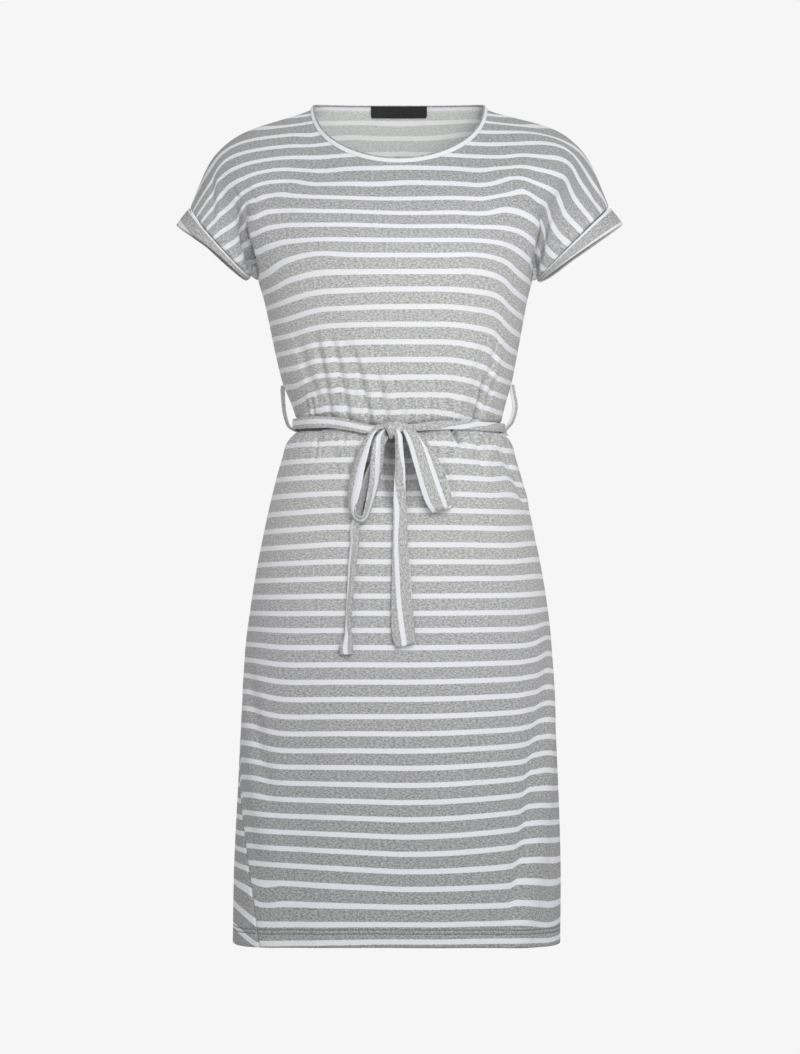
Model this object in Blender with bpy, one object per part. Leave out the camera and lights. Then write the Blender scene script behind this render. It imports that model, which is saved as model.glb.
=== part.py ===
"""A striped jersey T-shirt dress with a tie belt, in the hollow form it has when it is worn.

Frame: +Z up, the front faces -Y, +X is on the right of someone who looks at the front.
The origin is on the wearer's shoulder line, midway between the two ends of the neck opening.
Sizes are in millimetres and become metres when a mesh is made.

Each panel is a sheet worked out from rings: the neck edge, the shoulder ring, the cuff seams
and the bust ring, then the rings of the bodice or the skirt. Its wall lies inside that sheet.
"left" and "right" in a name are as seen from the front.
"""

import math
from collections import namedtuple

import bpy
import numpy as np

MM = 0.001
FRONT, BACK = -1, 1
LEFT, RIGHT = -1, 1

# ---------------------------------------------------------------- driving sizes

WALL = 1.5              # jersey panels, thick enough to be a solid
BAND_WALL = 2.4         # folded bands: neck binding, cuffs, belt
LABEL_WALL = 0.7
SEAM = 0.3              # gap between two pieces that are sewn together
SEAM_ANGLE = 0.10       # half that gap at a side seam, as an angle round the body
ROUNDNESS = 2.3         # power of the rings: 2 is an ellipse, more is squarer

NECK_HALF_WIDTH = 106
NECK_END = (12, 3)      # y and z of the neck opening's two ends, on the shoulder line
BINDING_WIDTH = 6
BINDING_LEAN = 0.7      # how much the binding turns upright from the panel's slope

Ring = namedtuple("Ring", "height half_width front back lean")
BODICE = (
    Ring(-205, 164.5, 117, 101, -4.5),
    Ring(-230, 157.5, 117, 100, -4),
    Ring(-262, 151, 115, 96, -3.5),
    Ring(-300, 143.5, 111, 91, -3),
    Ring(-332, 136, 107, 88, -2),
    Ring(-350, 129.5, 103.5, 86, -1),
    Ring(-368, 124, 100, 84, 0),
    Ring(-386, 121, 96, 83, 0),
)
SKIRT = (
    Ring(-386, 121, 96, 83, 0),
    Ring(-396, 134.5, 101.5, 89, 0),
    Ring(-420, 141, 106, 98, 0),
    Ring(-460, 151.5, 112, 110, 0),
    Ring(-516, 164, 118, 120, 0),
    Ring(-588, 177, 123, 125, 0),
    Ring(-680, 185, 126, 126, -1),
    Ring(-800, 191.5, 128, 127, -1),
    Ring(-900, 195.5, 130, 129, -2),
    Ring(-986, 196, 131, 130, -3),
)
HEM_SIDE_DROP = 10      # the hem hangs this much lower at the sides than in front

# The left side seam of the skirt swings to the front towards the hem, as twisted jersey does.
SeamTurn = namedtuple("SeamTurn", "height angle")
LEFT_SEAM = (
    SeamTurn(-386, -90),
    SeamTurn(-700, -90),
    SeamTurn(-800, -84),
    SeamTurn(-880, -68),
    SeamTurn(-986, -57),
)
RIGHT_SEAM = (
    SeamTurn(-386, 90),
    SeamTurn(-986, 90),
)

# Sleeve ends: the top and the bottom of each cuff seam, in the front view.
# Then how far the seam bows down in front and behind, and the band's depth under the arm, which
# taper brings on from its depth over the arm.
Sleeve = namedtuple("Sleeve", "ridge_x ridge_z over_x over_z under_x under_z "
                              "front_bow back_bow band_under taper")
SLEEVES = {
    LEFT: Sleeve(205, -36, 251, -116, 177, -199, 6.5, 5, 4.5, 2.2),
    RIGHT: Sleeve(204, -31, 253, -116, 165, -203, 1.5, 1, 3, 0.95),
}
CUFF_HALF_DEPTH = 47    # front to back, half the sleeve's opening
BOW_WAY = (0.5, -0.87)  # the way a cuff seam bows, outwards and down
CUFF_OVER_Y = 5         # the top of the cuff seam lies this far behind its foot
CUFF_OVER = 24          # the cuff's depth over the arm; under it the cuff tucks in
CUFF_SEAM_TURN = 0.3    # half the seam gap, as an angle round the cuff
NECK_SEAM_TURN = 0.15   # and round the neck
UNDERARM_NECK_TURN = 36 # where the line from under the arm meets the neck edge
CHEST_NECK_TURN = 40    # where the line from the top of the side seam meets it

# The yoke of each face: its neck edge and its shoulder ring, halfway to the bust ring.
Yoke = namedtuple("Yoke", "neck_reach neck_rise mid_reach mid_z end_x end_reach end_z")
YOKES = {
    FRONT: Yoke(70, -77, 91, -126, 158, 57, -112),
    BACK: Yoke(44, 7, 88, -94, 156, 62, -112),
}

# The shoulder ring over the arm: an arc of an ellipse round a middle below the shoulder line.
CAP_LAST_TURN = 112     # degrees of the ellipse, from the shoulder line to the armpit fold
CAP_MIDDLE_OUT = 6      # the ellipse's middle lies this far outside the ring's inner end
CAP_MIDDLE_DROP = 14
CAP_FORWARD = (8, 4, -14)   # its half axis to the front or back, past the ring's inner end

CHEST_END = (5, 3, 4)   # the ring goes on across the chest this far inside, ahead and below

SLEEVE_END_PULL = 1.5   # how far ahead the cloth already runs the way the sleeve ends
BUST_PULL = 1.15        # how straight it crosses the shoulder ring

# Long soft folds: where each starts and ends, its half width, and how far it stands out (+)
# or in (-).
# A fold that runs out through the hem has its foot below it.
Fold = namedtuple("Fold", "top_angle top_height foot_angle foot_height width depth")
SKIRT_FOLDS = (
    Fold(57, -386, 86, -520, 15, -3.5),
    Fold(88, -590, 33, -1080, 30, 4.0),
    Fold(-88, -600, -44, -900, 28, 3.0),
    Fold(-30, -660, -37, -1080, 34, -2.5),
    Fold(14, -700, 8, -1080, 40, 2.5),
    Fold(-14, -390, -16, -500, 14, -1.8),
    Fold(152, -392, 122, -800, 26, -3.5),
    Fold(205, -400, 236, -1080, 30, 3.5),
    Fold(176, -600, 166, -1080, 42, -3.0),
)
BODICE_FOLDS = (
    Fold(58, -318, 51, -368, 11, -2.6),
    Fold(-50, -270, -44, -368, 13, -2.4),
    Fold(-24, -260, -20, -368, 14, -2.0),
    Fold(12, -250, 10, -368, 15, -2.0),
    Fold(36, -270, 33, -368, 13, 2.0),
    Fold(150, -260, 155, -368, 15, -2.2),
    Fold(183, -240, 181, -368, 17, 2.2),
    Fold(215, -260, 208, -368, 15, -2.2),
)

# Armpit folds of the yoke, seen from the front: the sleeve tucks in beside the chest.
Crease = namedtuple("Crease", "top_x top_z foot_x foot_z width depth")
ARMPIT_CREASES = (
    Crease(-196, -124, -168, -205, 20, -5.0),
    Crease(200, -90, 160, -207, 20, -5.0),
)

BELT_HEIGHT = 16
BELT_SIDE_Z = -377
BELT_FRONT_Z = -390
BELT_PINCH = 6          # the belt is this much narrower where it meets the knot
BELT_ENDS = (-2.2, 357.2)   # its two ends in front, as angles round the body
KNOT_CENTRE = (-7, -114, -393)
KNOT_HALF = (11, 9, 9)

CAP_COLUMNS = 8         # over each half cuff
RING_COLUMNS = 11       # from the side seam to the centre line
YOKE_ROWS = 4           # in each of the two stretches of the yoke
BODICE_ROWS = 7
SKIRT_ROWS = 12
BELT_POINTS = 61
LABEL_ROWS = (-6.3, 1, 8)   # how far down from the neck edge the label's rows lie
LABEL_COLUMNS = 4       # of the back panel, to each side of the centre


# ---------------------------------------------------------------- curves and tables

def hermite(start, end, start_run, end_run, share):
    """Cubic from start to end: at share 0 it leaves along start_run, at 1 it arrives along end_run."""
    s = share
    return ((2 * s**3 - 3 * s**2 + 1) * start + (s**3 - 2 * s**2 + s) * start_run
            + (3 * s**2 - 2 * s**3) * end + (s**3 - s**2) * end_run)


def read_table(rows, column, height):
    """Reads one column of a table at a height, on a smooth curve through its rows."""
    heights = np.array([row.height for row in rows], float)
    values = np.array([getattr(row, column) for row in rows], float)
    slopes = np.gradient(values, heights)
    i = int(np.clip(np.searchsorted(-heights, -height) - 1, 0, len(rows) - 2))
    step = heights[i + 1] - heights[i]
    share = (height - heights[i]) / step
    return float(hermite(values[i], values[i + 1], slopes[i] * step, slopes[i + 1] * step, share))


def oval(half_width, depth, angle):
    """A point of a squarish oval. Angle 0 is the centre front, 90 the right side."""
    across, ahead = math.sin(math.radians(angle)), math.cos(math.radians(angle))
    return np.array([half_width * math.copysign(abs(across)**(2 / ROUNDNESS), across),
                     -depth * math.copysign(abs(ahead)**(2 / ROUNDNESS), ahead)])


def facing(angle):
    return "front" if math.cos(math.radians(angle)) >= 0 else "back"


def ring_point(rows, height, angle, grow=0.0):
    """A point of the garment's ring at a height, moved out by grow."""
    half_width = read_table(rows, "half_width", height)
    x, y = oval(half_width + grow, read_table(rows, facing(angle), height) + grow, angle)
    return np.array([x + read_table(rows, "lean", height), y, height])


def unit(vector):
    return vector / np.linalg.norm(vector)


def ring_normal(rows, height, angle):
    """The outward normal of the ring's surface, without its folds."""
    around = ring_point(rows, height, angle + 1) - ring_point(rows, height, angle - 1)
    up = ring_point(rows, height + 1, angle) - ring_point(rows, height - 1, angle)
    return unit(np.cross(around, up))


def ring_angle(face, step, steps):
    """The angle of a panel's column, from its left side seam to its right one."""
    angle = (2 * step / steps - 1) * (90 - SEAM_ANGLE)
    return angle if face == FRONT else 180 - angle


def soft_bump(distance):
    """1 at distance 0, smoothly 0 from distance 1."""
    return (1 - min(abs(distance), 1)**2)**2


def fold_offset(folds, angle, height, girth_radius):
    """How far the folds move a point outwards, from its distance across each fold's line."""
    total = 0.0
    for fold in folds:
        share = (height - fold.top_height) / (fold.foot_height - fold.top_height)
        if 0 < share < 1:
            centre = fold.top_angle + share * (fold.foot_angle - fold.top_angle)
            away = (angle - centre + 180) % 360 - 180
            fade = min(1.0, share / 0.3, (1 - share) / 0.15)
            total += fold.depth * fade * soft_bump(math.radians(away) * girth_radius / fold.width)
    return total


def crease_offset(point):
    """How far the armpit folds move a point of the yoke outwards."""
    total = 0.0
    for crease in ARMPIT_CREASES:
        top, foot = np.array(crease[:2]), np.array(crease[2:4])
        along = foot - top
        share = np.dot(point[[0, 2]] - top, along) / np.dot(along, along)
        if -0.3 < share < 1.2:
            away = np.linalg.norm(point[[0, 2]] - top - share * along)
            total += crease.depth * min(1.0, (share + 0.3) / 0.6) * soft_bump(away / crease.width)
    return total


# ---------------------------------------------------------------- meshes

def cloth_material(name, colour):
    material = bpy.data.materials.new(name)
    material.use_nodes = True
    shader = material.node_tree.nodes["Principled BSDF"]
    shader.inputs["Base Color"].default_value = (*colour, 1)
    shader.inputs["Roughness"].default_value = 0.9
    shader.inputs["Metallic"].default_value = 0.0
    return material


def add_object(name, points, faces, material):
    """Makes a mesh object from points in millimetres."""
    mesh = bpy.data.meshes.new(name)
    mesh.from_pydata([tuple(np.asarray(p) * MM) for p in points], [], faces)
    mesh.shade_smooth()
    mesh.materials.append(material)
    piece = bpy.data.objects.new(name, mesh)
    bpy.context.scene.collection.objects.link(piece)
    return piece


def walled(points, normals, faces, wall):
    """A sheet made solid: its points, the same moved inwards along their normals, and a rim."""
    points, normals = np.array(points), np.array(normals)
    count = len(points)
    inner = [tuple(count + i for i in reversed(face)) for face in faces]
    edges = {(face[k], face[(k + 1) % len(face)]) for face in faces for k in range(len(face))}
    rim = [(b, a, count + a, count + b) for a, b in sorted(edges) if (b, a) not in edges]
    return np.vstack([points, points - normals * wall]), list(faces) + inner + rim


def grid_normals(grid, outward):
    """Outward normals of a grid of points, from its neighbours along and across."""
    normals = np.cross(np.gradient(grid, axis=0), np.gradient(grid, axis=1)) * outward
    return normals / np.linalg.norm(normals, axis=2, keepdims=True)


def grid_faces(rows, columns, closed=False, flip=False):
    """Quads of a grid whose points run row by row. Closed joins the last column to the first."""
    faces = []
    for r in range(rows - 1):
        for c in range(columns if closed else columns - 1):
            d = (c + 1) % columns
            quad = (r * columns + c, (r + 1) * columns + c, (r + 1) * columns + d, r * columns + d)
            faces.append(quad[::-1] if flip else quad)
    return faces


def smooth_path(rows, count):
    """Points evenly shared along a Catmull-Rom curve through the rows, which may hold any columns."""
    rows = np.array(rows, float)
    slopes = np.gradient(rows, axis=0)
    result = []
    for t in np.linspace(0, len(rows) - 1, count):
        i = min(int(t), len(rows) - 2)
        result.append(hermite(rows[i], rows[i + 1], slopes[i], slopes[i + 1], t - i))
    return np.array(result)


def ribbon(name, centres, widths, thickness, material, closed=False):
    """A flat strip: a thin rectangle across each centre, as wide as its width vector."""
    count = len(centres)
    points = []
    for i in range(count):
        before = centres[(i - 1) % count] if closed else centres[max(i - 1, 0)]
        after = centres[(i + 1) % count] if closed else centres[min(i + 1, count - 1)]
        half = widths[i] / 2
        depth = unit(np.cross(after - before, half)) * thickness / 2
        points += [centres[i] - half - depth, centres[i] + half - depth,
                   centres[i] + half + depth, centres[i] - half + depth]
    faces = []
    for i in range(count if closed else count - 1):
        a, b = 4 * i, 4 * ((i + 1) % count)
        for k in range(4):
            m = (k + 1) % 4
            faces.append((a + k, a + m, b + m, b + k))
    if not closed:
        faces += [(3, 2, 1, 0), (4 * count - 4, 4 * count - 3, 4 * count - 2, 4 * count - 1)]
    return add_object(name, points, faces, material)


# ---------------------------------------------------------------- bodice

def cuff_point(side, face, turn):
    """The cuff seam: a half ellipse from the top of the arm (turn 0) to under it (turn 180)."""
    sleeve = SLEEVES[side]
    over = np.array([side * sleeve.over_x, CUFF_OVER_Y, sleeve.over_z], float)
    under = np.array([side * sleeve.under_x, 0, sleeve.under_z], float)
    middle, reach = (over + under) / 2, (over - under) / 2
    a = math.radians(turn)
    bow = (sleeve.front_bow if face == FRONT else sleeve.back_bow) * max(0.0, math.sin(a))**0.7
    return (middle + reach * math.cos(a) + np.array([0, face * CUFF_HALF_DEPTH * math.sin(a), 0])
            + bow * np.array([side * BOW_WAY[0], 0, BOW_WAY[1]]))


def sleeve_run(side, face, turn):
    """The way the cloth runs down the sleeve where it reaches the cuff."""
    a = math.radians(turn)
    out = 0.38 + 0.10 * (1 - math.cos(a))
    return unit(np.array([side * out, -face * 0.25 * max(0, -math.cos(a)) * math.sin(a), -0.87]))


def neck_point(face, turn):
    """The neck edge, from the left end (turn 0) over the centre (90) to the right end (180)."""
    yoke = YOKES[face]
    a = math.radians(turn)
    return np.array([-NECK_HALF_WIDTH * math.cos(a),
                     NECK_END[0] + face * yoke.neck_reach * math.sin(a),
                     NECK_END[1] + yoke.neck_rise * math.sin(a)])


def shoulder_cap(side, face, turn):
    """The shoulder ring over the arm: an ellipse arc from the shoulder line down to the armpit fold."""
    sleeve, yoke = SLEEVES[side], YOKES[face]
    out, past, down = CAP_FORWARD
    ridge = np.array([side * sleeve.ridge_x, NECK_END[0], sleeve.ridge_z], float)
    end = np.array([side * yoke.end_x, face * yoke.end_reach, yoke.end_z], float)
    middle = np.array([side * (yoke.end_x + CAP_MIDDLE_OUT), NECK_END[0],
                       (sleeve.ridge_z + yoke.end_z) / 2 - CAP_MIDDLE_DROP])
    forward = np.array([side * out, face * (yoke.end_reach + past) + NECK_END[0], down])
    last = math.radians(CAP_LAST_TURN)
    a = last * turn
    shape = middle + (ridge - middle) * math.cos(a) + forward * math.sin(a)
    shape_end = middle + (ridge - middle) * math.cos(last) + forward * math.sin(last)
    return shape + (end - shape_end) * turn**2


def shoulder_chest(side, face, angle):
    """The shoulder ring across the chest, from inside the armpit fold (angle 90) to the centre (0)."""
    yoke = YOKES[face]
    across = abs(math.sin(math.radians(angle)))
    inside, ahead, below = CHEST_END
    return np.array([side * (yoke.end_x - inside) * across,
                     face * (yoke.mid_reach - (yoke.mid_reach - yoke.end_reach - ahead) * across**3),
                     yoke.mid_z + (yoke.end_z - below - yoke.mid_z) * across**2])


def yoke_columns(side, face):
    """Per column from the shoulder line to the centre: neck, shoulder ring, outer edge, last run."""
    columns = []
    for k in range(CAP_COLUMNS + 1):
        share = k / CAP_COLUMNS
        cap = shoulder_cap(side, face, share)
        if k == 0:
            cap[1] += face * SEAM / 2
        turn = CUFF_SEAM_TURN + (180 - 2 * CUFF_SEAM_TURN) * share
        neck_turn = NECK_SEAM_TURN + (UNDERARM_NECK_TURN - NECK_SEAM_TURN) * share
        run = SLEEVE_END_PULL * sleeve_run(side, face, turn)
        columns.append((neck_turn, cap, cuff_point(side, face, turn), run))
    for k in range(RING_COLUMNS + 1):
        share = k / RING_COLUMNS
        angle = ring_angle(face, RING_COLUMNS + side * (RING_COLUMNS - k), 2 * RING_COLUMNS)
        neck_turn = CHEST_NECK_TURN + (90 - CHEST_NECK_TURN) * share
        here = ring_point(BODICE, BODICE[0].height, angle)
        below = ring_point(BODICE, BODICE[1].height, angle)
        columns.append((neck_turn, shoulder_chest(side, face, angle), here, unit(below - here)))
    return [(neck_point(face, turn if side == LEFT else 180 - turn), mid, outer, run)
            for turn, mid, outer, run in columns]


def yoke_curve(neck, mid, outer, run, share):
    """A line of the yoke from the neck edge (0) over the shoulder ring (1) to the outer edge (2)."""
    first, second = np.linalg.norm(mid - neck), np.linalg.norm(outer - mid)
    through = (outer - neck) / (first + second)
    if share <= 1:
        return hermite(neck, mid, mid - neck, through * first, share)
    return hermite(mid, outer, through * second * BUST_PULL, run * second, share - 1)


def bodice_panel(face):
    """The front or the back with its half of both sleeves, from the neck edge to the waist."""
    left, right = yoke_columns(LEFT, face), yoke_columns(RIGHT, face)
    columns = left + right[-2::-1]
    count = len(columns)
    shares = np.linspace(0, 2, 2 * YOKE_ROWS + 1)
    grid = np.array([[yoke_curve(*column, share) for column in columns] for share in shares])
    slants = grid_normals(grid, -face)
    under = (CAP_COLUMNS, count - 1 - CAP_COLUMNS)
    slants[:, (0, -1), 1] = 0       # along a seam the wall stays in the seam's plane
    slants[-1, under, 1] = 0
    slants /= np.linalg.norm(slants, axis=2, keepdims=True)
    for r in range(1, len(shares)):
        for c in range(1, count - 1):
            grid[r, c] += slants[r, c] * crease_offset(grid[r, c]) * (r < len(shares) - 1)

    first, last = CAP_COLUMNS + 1, count - CAP_COLUMNS - 2
    for c in range(first, last + 1):
        slants[-1, c] = ring_normal(BODICE, BODICE[0].height, ring_angle(face, c - first, last - first))
    points, normals = list(grid.reshape(-1, 3)), list(slants.reshape(-1, 3))
    faces = grid_faces(len(shares), count, flip=face == BACK)
    previous = [(len(shares) - 1) * count + c for c in range(first, last + 1)]
    waist = BODICE[-1].height + SEAM / 2
    for height in np.linspace(BODICE[0].height, waist, BODICE_ROWS + 1)[1:]:
        row = []
        for c in range(first, last + 1):
            angle = ring_angle(face, c - first, last - first)
            row.append(len(points))
            out = fold_offset(BODICE_FOLDS, angle, height, 130)
            points.append(ring_point(BODICE, height, angle, out))
            normals.append(ring_normal(BODICE, height, angle))
        for k in range(len(row) - 1):
            quad = (previous[k], row[k], row[k + 1], previous[k + 1])
            faces.append(quad if face == FRONT else quad[::-1])
        previous = row
    return walled(points, normals, faces, WALL)


# ---------------------------------------------------------------- skirt

def hem_height(angle, height):
    """The skirt's rows dip towards the sides, fully at the hem."""
    top, foot = SKIRT[0].height, SKIRT[-1].height
    return height - HEM_SIDE_DROP * (height - top) / (foot - top) * math.sin(math.radians(angle))**2


def skirt_panel(face):
    """The front or the back of the skirt, between the two side seams."""
    columns = 2 * RING_COLUMNS + 1
    points, normals = [], []
    top = SKIRT[0].height - SEAM / 2
    for height in np.linspace(top, SKIRT[-1].height, SKIRT_ROWS + 1):
        left = read_table(LEFT_SEAM, "angle", height)
        right = read_table(RIGHT_SEAM, "angle", height)
        start, end = (left + SEAM_ANGLE, right - SEAM_ANGLE)
        if face == BACK:
            start, end = (right + SEAM_ANGLE, 360 + left - SEAM_ANGLE)
        for angle in np.linspace(start, end, columns):
            point = ring_point(SKIRT, height, angle, fold_offset(SKIRT_FOLDS, angle, height, 160))
            point[2] = hem_height(angle, height)
            points.append(point)
            normals.append(ring_normal(SKIRT, height, angle))
    return walled(points, normals, grid_faces(SKIRT_ROWS + 1, columns), WALL)


# ---------------------------------------------------------------- bands and trims

def neck_binding(material):
    """A folded band that stands on the neck edges of both panels, 0.3 mm clear of them."""
    front = yoke_columns(LEFT, FRONT) + yoke_columns(RIGHT, FRONT)[-2::-1]
    back = yoke_columns(RIGHT, BACK) + yoke_columns(LEFT, BACK)[-2::-1]
    lean = np.array([0, 0, BINDING_LEAN])
    edge = [(neck, unit(unit(neck - mid) + lean)) for neck, mid, outer, run in front[:-1] + back[:-1]]
    centres = np.array([neck + up * (2 * SEAM + BINDING_WIDTH / 2) for neck, up in edge])
    return ribbon("neck_binding", centres, np.array([up * BINDING_WIDTH for neck, up in edge]),
                  BAND_WALL, material, closed=True)


def cuff(side, name, material):
    """A band sewn round the end of the sleeve, deeper over the arm than under it."""
    segments = 2 * CAP_COLUMNS
    sleeve = SLEEVES[side]
    rows = []
    for row in (0.0, 0.5, 1.0):
        ring = []
        for k in range(segments):
            turn = 360 * k / segments
            face, half = (FRONT, turn) if turn <= 180 else (BACK, 360 - turn)
            under = (1 - math.cos(math.radians(half))) / 2
            deep = sleeve.band_under + (CUFF_OVER - sleeve.band_under) * (1 - under)**sleeve.taper
            run = unit(np.array([side * (0.60 + 0.2 * under), 0, -0.78 + 0.2 * under]))
            ring.append(cuff_point(side, face, half) + run * (4 * SEAM + deep * row))
        rows.append(ring)
    grid = np.array(rows)
    centre = grid.mean(axis=1, keepdims=True)
    around = np.roll(grid, -1, axis=1) - np.roll(grid, 1, axis=1)
    normals = np.cross(around, grid[-1:] - grid[:1])
    normals *= np.sign((normals * (grid - centre)).sum(axis=2, keepdims=True))
    normals /= np.linalg.norm(normals, axis=2, keepdims=True)
    faces = grid_faces(3, segments, closed=True, flip=side == RIGHT)
    shell = walled(grid.reshape(-1, 3), normals.reshape(-1, 3), faces, BAND_WALL)
    return add_object(name, *shell, material)


def widest(column, low, high):
    """The largest ring size between two heights near the waist, so that the belt clears it."""
    return max(read_table(BODICE if h > SKIRT[0].height else SKIRT, column, h)
               for h in np.linspace(low, high, 5))


def belt_round(material):
    """The belt round the waist, from one side of the knot round the back to the other."""
    centres, widths = [], []
    for angle in np.linspace(*BELT_ENDS, BELT_POINTS):
        ahead = max(0.0, math.cos(math.radians(angle)))
        z = BELT_SIDE_Z + (BELT_FRONT_Z - BELT_SIDE_Z) * ahead
        height = BELT_HEIGHT - BELT_PINCH * ahead**3
        off = 5 * SEAM + BAND_WALL / 2
        low, high = z - height / 2, z + height / 2
        x, y = oval(widest("half_width", low, high) + off, widest(facing(angle), low, high) + off, angle)
        centres.append(np.array([x, y, z]))
        widths.append(np.array([0, 0, height]))
    return ribbon("belt_round", np.array(centres), np.array(widths), BAND_WALL, material)


Standoff = namedtuple("Standoff", "height off")
BELT_LOOP = (
    Standoff(-331, 1.2),
    Standoff(-343, 6),
    Standoff(-358, 10.5),
    Standoff(-372, 12),
    Standoff(-386, 10),
    Standoff(-393, 2.2),
)
BELT_LOOP_WIDTH = 7
BELT_LOOP_WALL = 1.4
BELT_LOOP_Y = -4        # it is sewn just in front of the side seam


def belt_loop(side, name, material):
    """A narrow strip of cloth by the side seam that stands off it and lets the belt through."""
    rows = []
    for height, off in BELT_LOOP:
        table = BODICE if height > SKIRT[0].height else SKIRT
        rows.append(ring_point(table, height, side * 90, off) + np.array([0, BELT_LOOP_Y, 0]))
    centres = smooth_path(rows, 2 * len(BELT_LOOP) + 1)
    widths = np.tile(np.array([0, BELT_LOOP_WIDTH, 0]), (len(centres), 1))
    return ribbon(name, centres, widths, BELT_LOOP_WALL, material)


KNOT_ROUNDNESS = 0.75   # power of the knot's coordinates: 1 is an ellipsoid, less is boxier


def knot(material):
    """The knot: a small cushion of wrapped belt."""
    segments, rings = 14, 8
    points, faces = [], []
    centre, half = np.array(KNOT_CENTRE, float), np.array(KNOT_HALF, float)
    for r in range(1, rings):
        tilt = math.pi * r / rings
        for k in range(segments):
            turn = 2 * math.pi * k / segments
            flat = math.sin(tilt)
            shape = np.array([flat * math.cos(turn), flat * math.sin(turn), math.cos(tilt)])
            points.append(centre + half * np.sign(shape) * np.abs(shape)**KNOT_ROUNDNESS)
    faces = grid_faces(rings - 1, segments, closed=True)
    faces.append(tuple(range(segments)))
    faces.append(tuple(reversed(range((rings - 2) * segments, (rings - 1) * segments))))
    return add_object("bow_knot", points, faces, material)


# Strips of the bow: each row is a place on the strip's middle line, with how far it stands
# off the skirt's front, and its width vector.
Strip = namedtuple("Strip", "x z off wide_x wide_y wide_z")
LOOP_LEFT = (
    Strip(-18.9, -392, 14, 2, -10, -13),
    Strip(-33, -404, 19, 10, -20, -12),
    Strip(-46, -434, 20, 15, -21, -4),
    Strip(-53, -470, 20, 15, -21, 0),
    Strip(-51.5, -491, 20, 15, -21, 1),
    Strip(-45, -499, 20, 15, -21, 2),
    Strip(-38, -489, 20, 15, -21, 3),
    Strip(-31, -466, 21, 15, -21, 3),
    Strip(-25, -436, 22, 14, -20, 3),
    Strip(-20.5, -409, 20, 9, -16, 3),
)
LOOP_RIGHT = (
    Strip(5.2, -394, 16, 2, -5, 14),
    Strip(15, -408, 20, 16, -4, 10),
    Strip(26, -440, 20, 23, -2, 7),
    Strip(37, -470, 18, 24, 0, 7),
    Strip(43, -485, 15, 24, 2, 8),
    Strip(46, -485, 10, 24, 3, 8),
    Strip(42, -470, 7, 24, 3, 7),
    Strip(33, -440, 8, 24, 2, 6),
    Strip(24, -412, 9, 18, 0, 4),
)
TAIL_RIGHT = (
    Strip(-4, -402.2, 14, 9, -3, 0),
    Strip(-1, -440, 9, 12, -3, 0),
    Strip(0, -500, 6, 18, -2, 0),
    Strip(2, -560, 5, 22, -2, 0),
    Strip(4, -620, 5, 25, -2, 1),
    Strip(9, -650, 6, 27, -3, 3),
)
TAIL_LEFT = (
    Strip(-15, -402.2, 10, 7, -4, 0),
    Strip(-33, -440, 4.5, 7, -4, 0),
    Strip(-47, -500, 4.5, 8, -4, 0),
    Strip(-57.5, -560, 4.5, 8, -4, 0),
    Strip(-61, -620, 4.5, 8, -4, 0),
    Strip(-63, -655, 6, 19, -5, 0),
)


def skirt_front_y(x, z):
    """The y of the skirt's front at a place seen from the front."""
    across = abs(x) / read_table(SKIRT, "half_width", z)
    return -read_table(SKIRT, "front", z) * (1 - across**ROUNDNESS)**(1 / ROUNDNESS)


def bow_strip(name, rows, count, material):
    path = smooth_path(rows, count)
    centres = np.array([(x, skirt_front_y(x, z) - off, z) for x, z, off in path[:, :3]])
    return ribbon(name, centres, path[:, 3:], BAND_WALL, material)


def neck_label(material):
    """A plain woven label sewn inside the back of the neck, made from the back panel's columns."""
    columns = yoke_columns(LEFT, BACK) + yoke_columns(RIGHT, BACK)[-2::-1]
    middle = len(columns) // 2
    rows = []
    for down in LABEL_ROWS:
        row = []
        for neck, mid, outer, run in columns[middle - LABEL_COLUMNS:middle + LABEL_COLUMNS + 1]:
            fall = unit(mid - neck)
            inwards = unit(np.cross(fall, (1.0, 0, 0)))
            inwards *= -np.sign(inwards[1])
            row.append(neck + fall * down + inwards * (WALL + BAND_WALL / 2 + SEAM))
        rows.append(row)
    grid = np.array(rows)
    normals = grid_normals(grid, 1)
    return add_object("neck_label", *walled(grid.reshape(-1, 3), normals.reshape(-1, 3),
                                            grid_faces(3, grid.shape[1]), LABEL_WALL), material)


# ---------------------------------------------------------------- the dress

def build():
    for old in list(bpy.data.objects):
        bpy.data.objects.remove(old)
    jersey = cloth_material("striped_jersey", (0.52, 0.52, 0.52))
    band = cloth_material("striped_band", (0.60, 0.60, 0.61))
    label = cloth_material("black_label", (0.02, 0.02, 0.022))

    for face, ending in ((FRONT, "front"), (BACK, "back")):
        add_object("bodice_" + ending, *bodice_panel(face), jersey)
        add_object("skirt_" + ending, *skirt_panel(face), jersey)
    for side, ending in ((LEFT, "left"), (RIGHT, "right")):
        cuff(side, "cuff_" + ending, band)
        belt_loop(side, "belt_loop_" + ending, band)
    neck_binding(band)
    neck_label(label)
    belt_round(band)
    knot(band)
    bow_strip("bow_loop_left", LOOP_LEFT, 28, band)
    bow_strip("bow_loop_right", LOOP_RIGHT, 24, band)
    bow_strip("bow_tail_left", TAIL_LEFT, 14, band)
    bow_strip("bow_tail_right", TAIL_RIGHT, 14, band)


build()
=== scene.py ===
"""A striped jersey T-shirt dress with a tie belt, in the form it has when it is worn.

Frame: +Z up, the front faces -Y, +X is on the right of someone who looks at the front.
Shapes are worked out in millimetres and become metres when a mesh is made.
"left" and "right" in a name are as seen from the front.
"""

import math

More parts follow.
